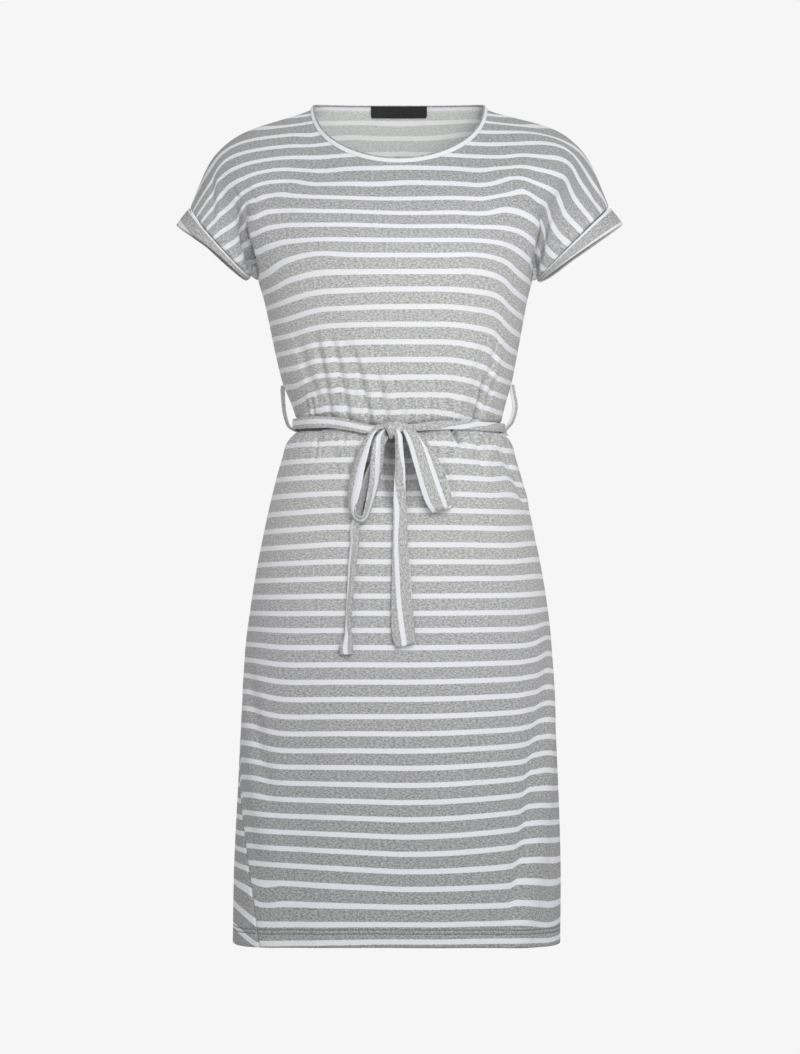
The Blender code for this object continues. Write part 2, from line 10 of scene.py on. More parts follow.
import bpy
import numpy as np
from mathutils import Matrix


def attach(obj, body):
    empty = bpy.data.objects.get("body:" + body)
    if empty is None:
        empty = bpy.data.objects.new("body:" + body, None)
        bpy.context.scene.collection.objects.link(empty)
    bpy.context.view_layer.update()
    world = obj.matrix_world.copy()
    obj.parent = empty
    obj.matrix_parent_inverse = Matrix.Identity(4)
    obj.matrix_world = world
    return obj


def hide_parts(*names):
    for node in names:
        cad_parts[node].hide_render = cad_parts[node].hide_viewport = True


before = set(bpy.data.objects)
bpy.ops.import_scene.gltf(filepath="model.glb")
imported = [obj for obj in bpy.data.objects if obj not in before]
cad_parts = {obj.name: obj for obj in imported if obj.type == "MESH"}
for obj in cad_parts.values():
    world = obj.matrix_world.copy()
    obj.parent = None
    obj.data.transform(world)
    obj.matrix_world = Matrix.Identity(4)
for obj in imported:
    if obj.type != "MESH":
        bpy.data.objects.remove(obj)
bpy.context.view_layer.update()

MM = 0.001
FRONT, BACK = -1, 1
LEFT, RIGHT = -1, 1

# ---------------------------------------------------------------- sizes of the dress

CLOTH = 1.1             # the jersey's thickness
BAND = 2.2              # a folded band's thickness
SEAM = 0.1              # the gap between two panels at a seam
SEAM_ANGLE = 0.02       # half that gap as an angle round the body
ROUNDNESS = 2.3         # power of the rings: 2 is an ellipse, more is squarer
PITCH = 20.0            # from one white stripe to the next
TUCK, TUCK_REACH = 2.6, 0.9             # how far cloth turns in beside a seam, and over what width
PRESS, PRESS_REACH = 2.6, 1.8           # how far the belt's edges press the cloth in, and how wide
BODICE_GATHER, SKIRT_GATHER = 1.4, 1.3  # strength of the small pleats above and below the waist
PLEAT_PULL = 0.03                       # pitches that the stripes move for each millimetre of a pleat
CHEST_RADIUS, HIP_RADIUS = 130, 160     # by which angles round the body become widths
WAIST_RADIUS, SKIRT_TOP_RADIUS = 118, 122
GROOVE, GROOVE_REACH = 0.7, 0.8         # how far a row of hem stitches draws the cloth in

NECK_HALF_WIDTH = 106
NECK_END_Y, NECK_END_Z = 12, 3

# Rings: height, half width, front depth, back depth, sideways lean.
BODICE = np.array((
    (-205, 164.5, 117, 101, -4.5), (-230, 157.5, 117, 100, -4), (-262, 151, 115, 96, -3.5),
    (-300, 143.5, 111, 91, -3), (-332, 136, 107, 88, -2), (-350, 129.5, 103.5, 86, -1),
    (-368, 124, 100, 84, 0), (-386, 121, 96, 83, 0)))
SKIRT = np.array((
    (-386, 121, 96, 83, 0), (-396, 131.5, 101.5, 89, 0), (-420, 140.5, 106, 98, 0),
    (-460, 151.5, 112, 110, 0), (-516, 164, 118, 120, 0), (-588, 177, 123, 125, 0),
    (-680, 185, 126, 126, -1), (-800, 191.5, 128, 127, -1), (-900, 195.5, 130, 129, -2),
    (-986, 196, 131, 130, -3)))
BUST_Z, WAIST_Z, HEM_Z = -205, -386, -986
HEM_SIDE_DROP = 10
HEM_STITCH_ROWS = (-965.5, -970.3)
STITCH_LENGTH, STITCH_STEP, STITCH_RISE = 2.5, 3.4, 0.25
STITCH_GIRTH = (0.15, 0.5, 0.5, 0.15)

# The side seams of the skirt: height, angle. The left one swings to the front near the hem.
LEFT_SEAM = np.array(((-386, -90), (-700, -90), (-795, -79), (-858, -67), (-921, -58.4), (-986, -52.3)), float)
RIGHT_SEAM = np.array(((-386, 90), (-986, 90)), float)

# Each sleeve: the shoulder ring's top (x, z), the top of the cuff seam (x, z), its foot (x, z),
# how far the seam bows down in front and behind, the band's depth under the arm, its taper.
SLEEVES = {
    LEFT: ((205, -36), (251, -116), (177, -199), (6.5, 5), 4.5, 2.2),
    RIGHT: ((204, -31), (253, -116), (165, -203), (1.5, 1), 3, 0.95),
}
CUFF_HALF_DEPTH = 47
CUFF_OVER = 24
CUFF_OVER_Y = 5

# Each face's yoke: neck reach and rise, shoulder ring's reach and height at the centre, and
# its inner end (x, y, z) beside the armpit.
YOKES = {
    FRONT: (70, -77, 91, -126, (158, 57, -112)),
    BACK: (44, 7, 88, -94, (156, 62, -112)),
}
CAP_COLUMNS, CHEST_COLUMNS = 8, 11
CHEST_START = CAP_COLUMNS + 0.5     # the column number at the top of the side seam
CENTRE_COLUMN = CHEST_START + CHEST_COLUMNS
COLUMN_PLACES = np.array([*range(CAP_COLUMNS + 1), *(CHEST_START + k for k in range(CHEST_COLUMNS + 1))])

# Long soft folds: start angle, start height, end angle, end height, half width, depth.
SKIRT_FOLDS = (
    (57, -386, 86, -520, 15, -3.5), (88, -590, 33, -1080, 30, 4.0), (-88, -600, -44, -900, 28, 3.0),
    (-30, -660, -37, -1080, 34, -2.5), (14, -700, 8, -1080, 40, 2.5), (-14, -390, -16, -500, 14, -1.8),
    (152, -392, 122, -800, 26, -3.5), (205, -400, 236, -1080, 30, 3.5), (176, -600, 166, -1080, 42, -3.0))
BODICE_FOLDS = (
    (58, -318, 51, -368, 11, -2.6), (-50, -270, -44, -368, 13, -2.4), (-24, -260, -20, -368, 14, -2.0),
    (12, -250, 10, -368, 15, -2.0), (36, -270, 33, -368, 13, 2.0), (150, -260, 155, -368, 15, -2.2),
    (183, -240, 181, -368, 17, 2.2), (215, -260, 208, -368, 15, -2.2))

# Creases, with x as seen from the front: the path's (x, z), then half width, depth, how much of a
# ridge stands on its right side, and how far the stripes step down there, in millimetres.
BODICE_CREASES = {FRONT: (
    (((-219, -82), (-221, -94), (-220, -120), (-217, -145)), 3.5, 2.2, 0.6, -2.4),
    (((-200, -96), (-192, -110), (-185, -125)), 3, 1.6, 0.5, 1.8),
    (((-191, -76), (-178, -102), (-171, -115), (-162, -130)), 3.5, 1.0, 0.5, 1.2),
    (((-195, -116), (-191, -130), (-187, -145), (-181, -162), (-175, -187), (-168, -211)), 4, 8.5, 0.3, -3.5),
    (((200, -96), (188, -113), (178, -133), (170, -156), (165, -178), (160, -197), (156, -218)),
     4.5, 4.5, 0.4, 2.6),
    (((220, -73), (230, -96), (238, -121)), 4, 1.6, 0.4, 0.8),
    (((-27, -318), (-20, -352), (-14, -386)), 4.0, 2.2, 0.5, 1.0),
    (((-56, -292), (-45, -330), (-33, -386)), 4.2, 2.5, 0.5, 1.2),
    (((-81, -276), (-70, -318), (-57, -386)), 4.2, 2.7, 0.5, 1.3),
    (((-99, -272), (-89, -318), (-78, -386)), 4.0, 2.3, 0.5, 1.2),
    (((-110, -350), (-107, -362), (-105, -386)), 1.6, 2.2, 0.4, -1.4),
    (((-104, -346), (-101, -360), (-98, -386)), 1.6, 2.0, 0.4, 0.8),
    (((117, -276), (112, -299), (108, -319), (101, -338)), 3.2, 1.6, 0.6, 1.2),
    (((102, -326), (98, -345), (94, -362), (88, -386)), 2.3, 12, 0.0, 1.4),
    (((74, -364), (73, -386)), 1.3, 1.5, 0.5, 0.3),
    (((66, -366), (65, -386)), 1.3, 1.5, 0.5, -0.3),
    (((49, -362), (48, -386)), 1.3, 1.7, 0.5, 0.4),
    (((40, -364), (39, -386)), 1.3, 1.6, 0.5, -0.3),
    (((17, -363), (17, -386)), 1.3, 1.5, 0.5, 0.3),
    (((7, -366), (7, -386)), 1.3, 1.4, 0.5, -0.3),
), BACK: (
    (((-214, -72), (-216, -104), (-214, -140)), 4, 1.5, 0.5, 0.8),
    (((-192, -120), (-180, -150), (-170, -186), (-163, -212)), 4.5, 4.0, 0.4, 1.5),
    (((196, -108), (182, -140), (172, -174), (160, -214)), 4.5, 3.6, 0.4, -1.5),
    (((-62, -290), (-50, -335), (-41, -386)), 3.2, 1.9, 0.5, 0.8),
    (((-24, -306), (-17, -345), (-12, -386)), 3.0, 1.6, 0.5, 0.8),
    (((22, -296), (18, -342), (13, -386)), 3.2, 1.8, 0.5, -0.8),
    (((64, -286), (54, -330), (44, -386)), 3.2, 2.0, 0.5, -0.8),
    (((99, -290), (91, -336), (84, -386)), 3.0, 1.8, 0.5, -0.8),
    (((-101, -300), (-92, -340), (-86, -386)), 3.0, 1.6, 0.5, 0.8),
)}
SKIRT_CREASES = {FRONT: (
    (((-33, -393), (-42, -408), (-51, -424), (-57, -440), (-60.5, -455), (-62, -470), (-60, -486), (-54, -499)),
     2.2, 3.6, 0.1, 0),
    (((33, -399), (43, -414), (50, -430), (57, -446), (62, -464), (65.5, -480)), 2.2, 3.2, 0.1, 0),
    (((60, -374), (65, -392), (71, -404), (80, -414)), 2.3, 11, 0.0, -1.2),
    (((109, -386), (124, -425), (133, -444), (143, -463), (151, -482)), 3.5, 2.4, 0.6, 4.0),
    (((177, -635), (169, -670), (164, -712), (157, -748), (150, -790), (146, -827), (140, -870),
      (132, -925), (128, -975)), 9, 1.8, 0.5, -4.6),
    (((-182, -646), (-169, -720), (-153, -810)), 8, 1.6, 0.5, 1.0),
    (((80, -376), (92, -412), (101, -452)), 3.0, 1.8, 0.5, 1.4),
    (((45, -376), (46, -402)), 1.5, 1.4, 0.5, 0.4),
    (((-62, -376), (-66, -420)), 3.0, 1.2, 0.5, 0.6),
    (((-92, -376), (-100, -430)), 3.2, 1.4, 0.5, 0.8),
), BACK: (
    (((-112, -386), (-128, -430), (-146, -486)), 3.5, 2.2, 0.6, -2.0),
    (((104, -386), (121, -436), (139, -500)), 3.5, 2.2, 0.6, 2.0),
    (((-168, -650), (-150, -760), (-128, -985)), 9, 1.6, 0.5, 2.0),
)}

# Places where the hang of the cloth moves the stripes: (x, z), reach (x, z), and how many pitches
# they rise there.
BODICE_DRIFTS = {FRONT: (
    ((-100, -84), (30, 24), -0.29), ((100, -92), (26, 30), -0.28), ((12, -102), (34, 16), 0.16),
    ((145, -82), (16, 20), 0.22), ((-50, -148), (45, 18), 0.10), ((96, -142), (24, 22), -0.14),
    ((-96, -190), (28, 16), 0.18), ((92, -199), (26, 20), 0.17), ((-122, -262), (22, 40), -0.22),
    ((-66, -240), (34, 26), -0.09), ((-76, -352), (36, 34), 0.38), ((104, -335), (26, 52), -0.22),
    ((84, -380), (24, 24), -0.25), ((-124, -350), (12, 20), -0.12), ((-104, -36), (16, 14), -0.22),
    ((122, -128), (16, 14), 0.20), ((146, -112), (14, 22), 0.16), ((-172, -140), (13, 26), -0.35),
    ((8, -376), (40, 14), 0.06), ((-118, -330), (14, 30), -0.12)
), BACK: (
    ((88, -18), (34, 14), 0.36), ((-62, -20), (26, 12), 0.13), ((0, -6), (26, 8), -0.09),
    ((-80, -170), (40, 26), 0.14), ((60, -300), (50, 40), -0.15), ((-40, -350), (36, 30), 0.12)
)}
SKIRT_DRIFTS = (
    ((-182, -720), (33, 90), 0.52), ((165, -520), (25, 50), 0.24), ((178, -935), (22, 50), -0.14),
    ((174, -967), (18, 16), -0.17), ((174, -775), (15, 26), 0.1), ((174, -637), (14, 24), 0.13),
    ((-171, -805), (15, 20), 0.09), ((-156, -930), (14, 15), -0.19), ((177, -690), (15, 100), 0.27),
    ((176, -640), (12, 34), 0.18), ((153, -715), (10, 100), 0.08), ((-75, -510), (32, 50), 0.07),
    ((128, -450), (14, 22), 0.2), ((84, -408), (14, 10), -0.1))

# How many pitches the skirt's rows rise: height, at the centre, 125 mm to the left, 105 mm to the right.
SKIRT_RISES = np.array((
    (-408, 0.046, 0.03, -0.12), (-448, 0.06, 0.02, -0.09), (-486, 0.075, -0.05, 0.005), (-525, 0.072, -0.05, 0.025),
    (-563, 0.072, 0.03, 0.085), (-602, 0.075, 0.05, 0.09), (-641, 0.085, 0.064, 0.105), (-680, 0.093, 0.04, 0.16),
    (-719, 0.098, 0.02, 0.195), (-758, 0.104, 0.06, 0.215), (-797, 0.12, 0.15, 0.255), (-836, 0.139, 0.23, 0.285),
    (-873, 0.145, 0.33, 0.28), (-894, 0.145, 0.355, 0.215), (-914, 0.135, 0.33, 0.14), (-938, 0.095, 0.155, 0.085),
    (-960, 0.085, 0.0, 0.07), (-986, 0.104, -0.12, 0.03)))
# The heights of the lowest white stripe on the bodice and the highest on the skirt, and how far
# apart the stripes lie there.
BODICE_FIRST, BODICE_PITCH = -370.8, 20.06
SKIRT_FIRST, SKIRT_PITCH = -407, 19.79

# The belt round the waist: angle, height of its middle, width, and the stripe number there.
BELT = np.array((
    (-181, -377, 16, -0.05), (-130, -377, 15.5, -0.05), (-90, -378, 14, -0.05), (-75, -379, 13, -0.05),
    (-50, -380, 14.2, -0.05), (-36, -381.5, 13, -0.05), (-23, -385.7, 12.2, -0.05), (-14, -390, 11, -0.05),
    (-5, -391, 10, 0.1), (3, -389.5, 9, 0.5), (9, -388, 8.8, 0.5), (16, -386.2, 10, 0.42),
    (22, -385.3, 10, 0.29), (28, -385, 10, 0.18), (35, -385, 10, 0.03), (42, -385, 10, -0.13),
    (49, -385, 10.5, -0.19), (56, -384.8, 10.5, -0.34), (69, -384.2, 10.5, -0.5), (90, -382, 11, -0.5),
    (130, -379, 14, -0.3), (181, -377, 16, -0.05)), float)

# Strips of the bow. Each row has both edges of the strip as seen from the front, then its look:
# left x, z and how far it stands off the skirt, right x, z and how far it stands off, how far
# the middle is cupped, and the stripe numbers at the left and right edges. "left" is the edge
# that is on the left where the strip runs down.
LOOP_LEFT = np.array((
    (-19, -386, 8, -12, -391, 14, 0.5, -0.95, -0.22), (-27.5, -387.5, 7, -23, -391, 15, 1.2, -0.95, -0.20),
    (-37.8, -402, 6, -30.6, -401, 19, 2.4, -0.85, -0.03), (-48.1, -420, 5, -36.3, -423, 20, 3.0, -0.72, 0.09),
    (-54.2, -439.4, 5, -40.1, -440, 20, 3.0, -0.64, 0.13), (-57.2, -454.3, 5, -42.9, -456, 20, 3.0, -0.58, 0.13),
    (-58.7, -469.3, 5, -46.4, -470, 20, 2.6, -0.55, 0.14), (-56.6, -484.2, 5, -49.4, -482, 20, 1.8, -0.50, 0.18),
    (-52.1, -495.0, 5, -48.8, -489, 20, 1.0, -0.46, 0.30), (-43.9, -499.9, 5, -44.2, -492.5, 20, 0.6, -0.46, 0.40),
    (-37.7, -496.0, 5, -40.5, -490, 20, 0.8, -0.46, 0.46), (-31.7, -481.2, 4, -38.2, -479, 20, 1.4, -0.40, 0.52),
    (-27.3, -467.8, 4, -35.8, -465, 20, 1.8, -0.40, 0.48), (-22.7, -451.3, 4, -33.4, -450, 20, 2.2, -0.44, 0.39),
    (-19.0, -431.8, 4, -32.6, -431, 20, 2.4, -0.46, 0.33), (-17.3, -413.8, 6, -30.2, -413, 19, 2.2, -0.50, 0.28),
    (-16.6, -400.5, 9, -26.5, -400, 17, 1.2, -0.52, 0.22), (-15, -391, 11, -18, -391, 14, 0.5, -0.45, 0.2)))
LOOP_RIGHT = np.array((
    (2.5, -390.5, 13, 6, -387, 11, 0.3, -0.25, 0.7), (6.4, -399, 18, 15, -392, 16, 0.9, -0.22, 0.8),
    (11.2, -413, 20, 28.5, -408, 19, 1.6, -0.2, 1.02), (15.4, -428, 20, 36, -424, 20, 1.8, -0.18, 1.14),
    (20.6, -446, 19, 42.3, -441.5, 20, 1.8, -0.17, 1.17), (25, -462.3, 18, 48, -457.7, 19, 1.6, -0.17, 1.17),
    (30.6, -477.1, 16, 53.4, -472.5, 17, 1.2, -0.17, 1.17), (36.3, -485.5, 13, 57, -481, 14, 0.8, -0.17, 1.14),
    (38.5, -485.0, 9, 61.0, -478, 7, 0.3, 0.0, 0.8), (32, -463, 4, 59.5, -462, 3.5, -0.4, 0.15, 0.7),
    (26, -441, 4, 51.0, -437, 3.5, -0.6, 0.2, 0.75), (16, -422, 5, 42.0, -418, 4, -0.6, 0.2, 0.75),
    (11, -408, 7, 32, -405, 6, -0.5, 0.2, 0.7), (5, -396, 8, 19, -393, 7, -0.3, 0.2, 0.6)))
TAIL_RIGHT = np.array((
    (-8.5, -392, 14, -3, -389, 16, 0.6, -0.42, 0.08), (-5, -399, 16, 3.2, -398, 19, 1.4, -0.40, 0.06),
    (-4.1, -409, 14, 4.4, -409, 18, 1.6, -0.42, 0.06), (-4.1, -424, 12, 5.9, -424, 14, 1.4, -0.50, 0.08),
    (-4.6, -439, 10, 7.3, -439, 11, 1.2, -0.75, 0.02), (-5.6, -454, 8.5, 7.5, -454, 9, 1.0, -0.98, 0.0),
    (-6.3, -469, 7, 8.0, -469, 8, 1.0, -1.12, -0.22), (-6.9, -485, 6, 9.2, -485, 6.5, 1.0, -1.24, -0.42),
    (-7.4, -519, 5, 9.9, -519, 5, 1.0, -1.28, -0.16), (-8.3, -553.6, 4.5, 13.2, -553.6, 5, 0.9, -1.36, -0.12),
    (-8.8, -588, 4.5, 15.0, -588, 5, 0.8, -1.50, -0.13), (-8.8, -620, 5, 17.4, -618, 6, 0.7, -1.62, -0.28),
    (-6.6, -634.5, 5.5, 18.6, -630, 6.5, 0.6, -1.62, -0.32), (-3.0, -643, 6, 17.0, -638, 7, 0.5, -1.5, -0.42)))
TAIL_LEFT = np.array((
    (-17, -399, 8, -11, -399, 9, 0.4, -0.25, 0.55), (-38, -440, 5, -30, -440, 6, 0.8, -0.22, 0.6),
    (-54.2, -499, 4, -44.6, -499, 7, 1.4, -0.2, 0.72), (-55.5, -522, 4, -45.8, -522, 8, 1.8, -0.2, 0.72),
    (-58.0, -547, 4, -49.0, -547, 8, 1.8, -0.2, 0.72), (-59.0, -572, 4, -51.2, -572, 8, 1.8, -0.2, 0.66),
    (-60.0, -596, 4, -53.8, -596, 8, 1.6, -0.2, 0.60), (-62.0, -618, 4, -55.0, -618, 7, 1.4, -0.25, 0.5),
    (-63.8, -630, 4, -54.0, -630, 6, 1.2, -0.35, 0.45), (-69.0, -642, 4, -52.3, -644, 7, 1.0, -0.46, 0.48),
    (-67.0, -651, 5, -52.6, -650, 8, 0.8, -0.42, 0.42)))
KNOT_WRAPS = [np.array(rows) for rows in (
    ((-21, -387, 4, -9, -381.5, 4, 0.4, 0.3, 0.75), (-18.5, -388.5, 12, -6.5, -383.5, 14, 1.2, 0.3, 0.75),
     (-15.5, -391, 18, -4, -387.5, 20, 1.8, 0.3, 0.72), (-13.4, -394.5, 18.5, -4, -392.5, 20, 1.8, 0.3, 0.7),
     (-12.4, -398, 15, -5.4, -397, 16, 1.2, 0.3, 0.6), (-11.4, -401.5, 10, -7.6, -401.5, 10, 0.5, 0.3, 0.5)),
    ((-6, -381, 4, 10, -384, 3, 0.4, 0.25, 0.7), (-5.5, -384, 14, 9.4, -387.5, 12, 1.2, 0.25, 0.7),
     (-6.5, -388, 17.5, 5.5, -392.5, 16, 1.6, 0.25, 0.65), (-8, -393, 16.5, 0.5, -396, 15, 1.4, 0.25, 0.6),
     (-8.6, -397.5, 11, -2.8, -399.5, 10, 0.8, 0.25, 0.5)),
    ((-23, -389, 5, -18, -384, 5, 0.4, -0.6, -0.2), (-14, -390, 12, -12, -384, 12, 1.2, -0.6, -0.25),
     (-5, -389.5, 14.5, -4, -382.5, 14.5, 1.4, -0.6, -0.25), (4, -390.5, 12, 3, -383.5, 12, 1.2, -0.6, -0.25),
     (13, -392.5, 6, 11, -386, 6, 0.4, -0.6, -0.2)))]


# ---------------------------------------------------------------- curves and tables

def hermite(start, end, start_run, end_run, share):
    """Cubic from start to end: at share 0 it leaves along start_run, at 1 it arrives along end_run."""
    s = share
    return ((2 * s**3 - 3 * s**2 + 1) * start + (s**3 - 2 * s**2 + s) * start_run
            + (3 * s**2 - 2 * s**3) * end + (s**3 - s**2) * end_run)


def through(values, at, places=None):
    """Reads a smooth curve through values, which lie at 0, 1, 2... or at ascending places."""
    values, at = np.asarray(values, float), np.asarray(at, float)
    places = np.arange(len(values), dtype=float) if places is None else np.asarray(places, float)
    slopes = np.gradient(values, places, axis=0)
    i = np.clip(np.searchsorted(places, at, side="right") - 1, 0, len(places) - 2)
    step = places[i + 1] - places[i]
    share = (at - places[i]) / step
    if values.ndim > 1:
        step, share = step[..., None], share[..., None]
    return hermite(values[i], values[i + 1], slopes[i] * step, slopes[i + 1] * step, share)


def down_table(table, column, height):
    """Reads one column of a table whose first column is a falling height."""
    return through(table[:, column], -np.asarray(height, float), -table[:, 0])


def power(value, exponent):
    """A power that keeps the value's sign."""
    return np.sign(value) * np.abs(value)**exponent


def ring_points(table, height, angle, grow=0.0):
    """Points of the garment's rings: x = w sin^(2/n), y = -d cos^(2/n), leaning sideways."""
    turn = np.radians(angle)
    height = height + 0.0 * turn
    half_width = down_table(table, 1, height) + grow
    depth = np.where(np.cos(turn) >= 0, down_table(table, 2, height), down_table(table, 3, height)) + grow
    x = half_width * power(np.sin(turn), 2 / ROUNDNESS) + down_table(table, 4, height)
    return np.stack([x, -depth * power(np.cos(turn), 2 / ROUNDNESS), height], axis=-1)


def length_of(vectors):
    return np.linalg.norm(vectors, axis=-1, keepdims=True)


def unit(vectors):
    return vectors / np.maximum(length_of(vectors), 1e-9)


def along(points):
    """How far each point lies from the first of its row, measured along the row."""
    steps = length_of(np.diff(points, axis=-2))[..., 0]
    return np.concatenate([np.zeros_like(steps[..., :1]), np.cumsum(steps, axis=-1)], axis=-1)


def tangents(centres, closed=False):
    """The direction of a path at each of its points, from the points on both sides."""
    if closed:
        return unit(np.roll(centres, -1, axis=0) - np.roll(centres, 1, axis=0))
    return unit(np.gradient(centres, axis=0))


def turned_back(angle):
    """An angle brought to between -180 and 180 degrees."""
    return (np.asarray(angle, float) + 180) % 360 - 180


def bell(distance):
    """1 at distance 0, falling as exp(-d^2)."""
    return np.exp(-distance**2)


def between(value, low, high):
    """0 below low, 1 above high, smooth between."""
    share = np.clip((value - low) / (high - low), 0, 1)
    return share * share * (3 - 2 * share)


def soft_bump(distance):
    """1 at distance 0, smoothly 0 from distance 1."""
    return (1 - np.minimum(np.abs(distance), 1)**2)**2


def fold_offset(folds, angle, height, girth_radius):
    """How far the long folds move a point outwards, from its distance across each fold's line."""
    total = 0.0
    for top_angle, top, foot_angle, foot, width, depth in folds:
        share = (height - top) / (foot - top)
        away = turned_back(angle - top_angle - share * (foot_angle - top_angle))
        fade = np.clip(np.minimum(share / 0.3, (1 - share) / 0.15), 0, 1)
        total = total + depth * fade * soft_bump(np.radians(away) * girth_radius / width)
    return total


def crease_field(creases, x, z):
    """Depth and stripe step of creases: a trough exp(-d^2) with a ridge beside it, along each path."""
    offset, step = np.zeros_like(x), np.zeros_like(x)
    for path, width, depth, ridge, jog in creases:
        line = through(path, np.linspace(0, len(path) - 1, 4 * len(path)))
        starts, runs = line[:-1], np.diff(line, axis=0)
        away_x, away_z = x[..., None] - starts[:, 0], z[..., None] - starts[:, 1]
        share = np.clip((away_x * runs[:, 0] + away_z * runs[:, 1]) / (runs**2).sum(axis=1), 0, 1)
        near_x, near_z = away_x - share * runs[:, 0], away_z - share * runs[:, 1]
        distance = np.hypot(near_x, near_z)
        nearest = distance.argmin(axis=-1)[..., None]
        open_end = abs(line[-1, 1] - WAIST_Z) > 6 and line[-1, 1] > HEM_Z + 4
        pick = lambda values: np.take_along_axis(values, nearest, axis=-1)[..., 0]
        side = np.sign(pick(away_x * -runs[:, 1] + away_z * runs[:, 0]))
        place = (nearest[..., 0] + pick(share)) / len(runs)
        d = side * pick(distance) / width
        fade = between(place, -0.05, 0.35) * (1 - between(place, 0.8, 1.0) * open_end)
        offset += depth * fade * (ridge * bell((d - 1.7) / 1.1) - bell(d))
        step += jog * fade * between(d, -0.6, 0.6) * bell(np.maximum(d, 0) / 6)
    return offset, step


def drift_field(drifts, x, z):
    """How many pitches the stripes rise at points seen from the front: a soft bell at each place."""
    return sum(rise * bell(np.hypot((x - place[0]) / reach[0], (z - place[1]) / reach[1]))
               for place, reach, rise in drifts)


def gathers(seed, count, spread):
    """Small pleats at the waist: angle, length, depth and half width of each, from one seed."""
    draw = np.random.default_rng(seed)
    angles = np.linspace(-180, 180, count, endpoint=False) + draw.uniform(-spread, spread, count)
    return angles, draw.uniform(12, 44, count), draw.uniform(0.5, 1.7, count), draw.uniform(1.2, 2.8, count)


def gather_field(pleats, angle, away, girth_radius):
    """How pleats that start at the waist seam move a point that lies away from it.

    Each is a trough with a low ridge on both sides, -(1 - 1.3 d^2) exp(-d^2). It widens and dies
    out along its length.
    """
    angles, lengths, depths, widths = pleats
    across = turned_back(angle[..., None] - angles)
    d = np.radians(across) * girth_radius / (widths * (1 + away[..., None] / 40))
    fade = np.clip(1 - away[..., None] / lengths, 0, 1)**1.3
    return (-depths * fade * (1 - 1.3 * d**2) * bell(d)).sum(axis=-1)


# ---------------------------------------------------------------- meshes

def grid_quads(index, flip=False):
    """Quads of a grid of vertex numbers."""
    corners = [index[:-1, :-1], index[1:, :-1], index[1:, 1:], index[:-1, 1:]]
    quads = np.stack([c.ravel() for c in corners], axis=1)
    return quads[:, ::-1] if flip else quads


def numbered(grid, start=0):
    """The vertex numbers of a grid of points."""
    return start + np.arange(grid[..., 0].size).reshape(grid.shape[:2])


def closed_columns(index):
    """A grid of numbers whose last column meets its first again."""
    return np.concatenate([index, index[:, :1]], axis=1)


def outward(points, quads):
    """Turns a closed form's quads so that they face out: its volume has to be positive."""
    a, b, c, d = (points[quads[:, k]] for k in range(4))
    volume = (np.cross(a, b) * c).sum() + (np.cross(a, c) * d).sum()
    return quads if volume > 0 else quads[:, ::-1]


def point_normals(points, quads):
    """Each point's normal: the sum of its quads' normals."""
    diagonals = np.cross(points[quads[:, 2]] - points[quads[:, 0]], points[quads[:, 3]] - points[quads[:, 1]])
    normals = np.zeros_like(points)
    for corner in range(4):
        np.add.at(normals, quads[:, corner], diagonals)
    return unit(normals)


def rim_edges(quads):
    """The edges that only one quad has, in that quad's direction."""
    edges = np.concatenate([quads[:, (k, (k + 1) % 4)] for k in range(4)])
    count = quads.max() + 1
    forward, back = edges[:, 0] * count + edges[:, 1], edges[:, 1] * count + edges[:, 0]
    return edges[~np.isin(forward, back)]


def show(name, data):
    """Puts a mesh, lamp or camera into the scene as an object of that name."""
    thing = bpy.data.objects.new(name, data)
    bpy.context.scene.collection.objects.link(thing)
    return thing


def make_piece(name, points, quads, fabric, material, slot, node, reverse=None):
    """A mesh object from points in millimetres, with its fabric coordinates, riding on the dress."""
    mesh = bpy.data.meshes.new(name)
    mesh.vertices.add(len(points))
    mesh.vertices.foreach_set("co", (points * MM).astype(np.float32).ravel())
    mesh.loops.add(quads.size)
    mesh.loops.foreach_set("vertex_index", quads.astype(np.int32).ravel())
    mesh.polygons.add(len(quads))
    mesh.polygons.foreach_set("loop_start", np.arange(0, quads.size, 4, dtype=np.int32))
    mesh.polygons.foreach_set("use_smooth", np.ones(len(quads), dtype=bool))
    mesh.update(calc_edges=True)
    mesh.validate()
    weave = mesh.uv_layers.new(name="fabric")
    weave.data.foreach_set("uv", fabric[quads.ravel()].astype(np.float32).ravel())
    if reverse is not None:
        inside = mesh.attributes.new("reverse", "FLOAT", "POINT")
        inside.data.foreach_set("value", reverse.astype(np.float32))
    mesh.materials.append(material)
    piece = show(name, mesh)
    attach(piece, "root")
    if node:
        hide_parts(node)
    return piece


def make_panel(name, points, quads, fabric, thickness, material, slot, node):
    """A panel made solid: its outer face, the same moved in along its normals, and a rim."""
    count, rim = len(points), rim_edges(quads)
    inner = points - point_normals(points, quads) * thickness
    walls = np.stack([rim[:, 1], rim[:, 0], count + rim[:, 0], count + rim[:, 1]], axis=1)
    return make_piece(name, np.vstack([points, inner]), np.vstack([quads, count + quads[:, ::-1], walls]),
                      np.vstack([fabric, fabric]), material, slot, node, np.repeat((0.0, 1.0), count))


# ---------------------------------------------------------------- finishes

class Value:
    """A socket of a node tree. Each operator on it adds the Math node of that name."""

    def __init__(self, nodes, socket):
        self.nodes, self.socket = nodes, socket

    def maths(self, operation, *terms):
        return self.nodes.add("ShaderNodeMath", {"operation": operation}, dict(enumerate(terms or (self,))))

    def outlet(self, place):
        """Another output of the same node."""
        return Value(self.nodes, self.socket.node.outputs[place])

    def __add__(self, other): return self.maths("ADD", self, other)
    def __radd__(self, other): return self.maths("ADD", other, self)
    def __sub__(self, other): return self.maths("SUBTRACT", self, other)
    def __rsub__(self, other): return self.maths("SUBTRACT", other, self)
    def __mul__(self, other): return self.maths("MULTIPLY", self, other)
    def __rmul__(self, other): return self.maths("MULTIPLY", other, self)


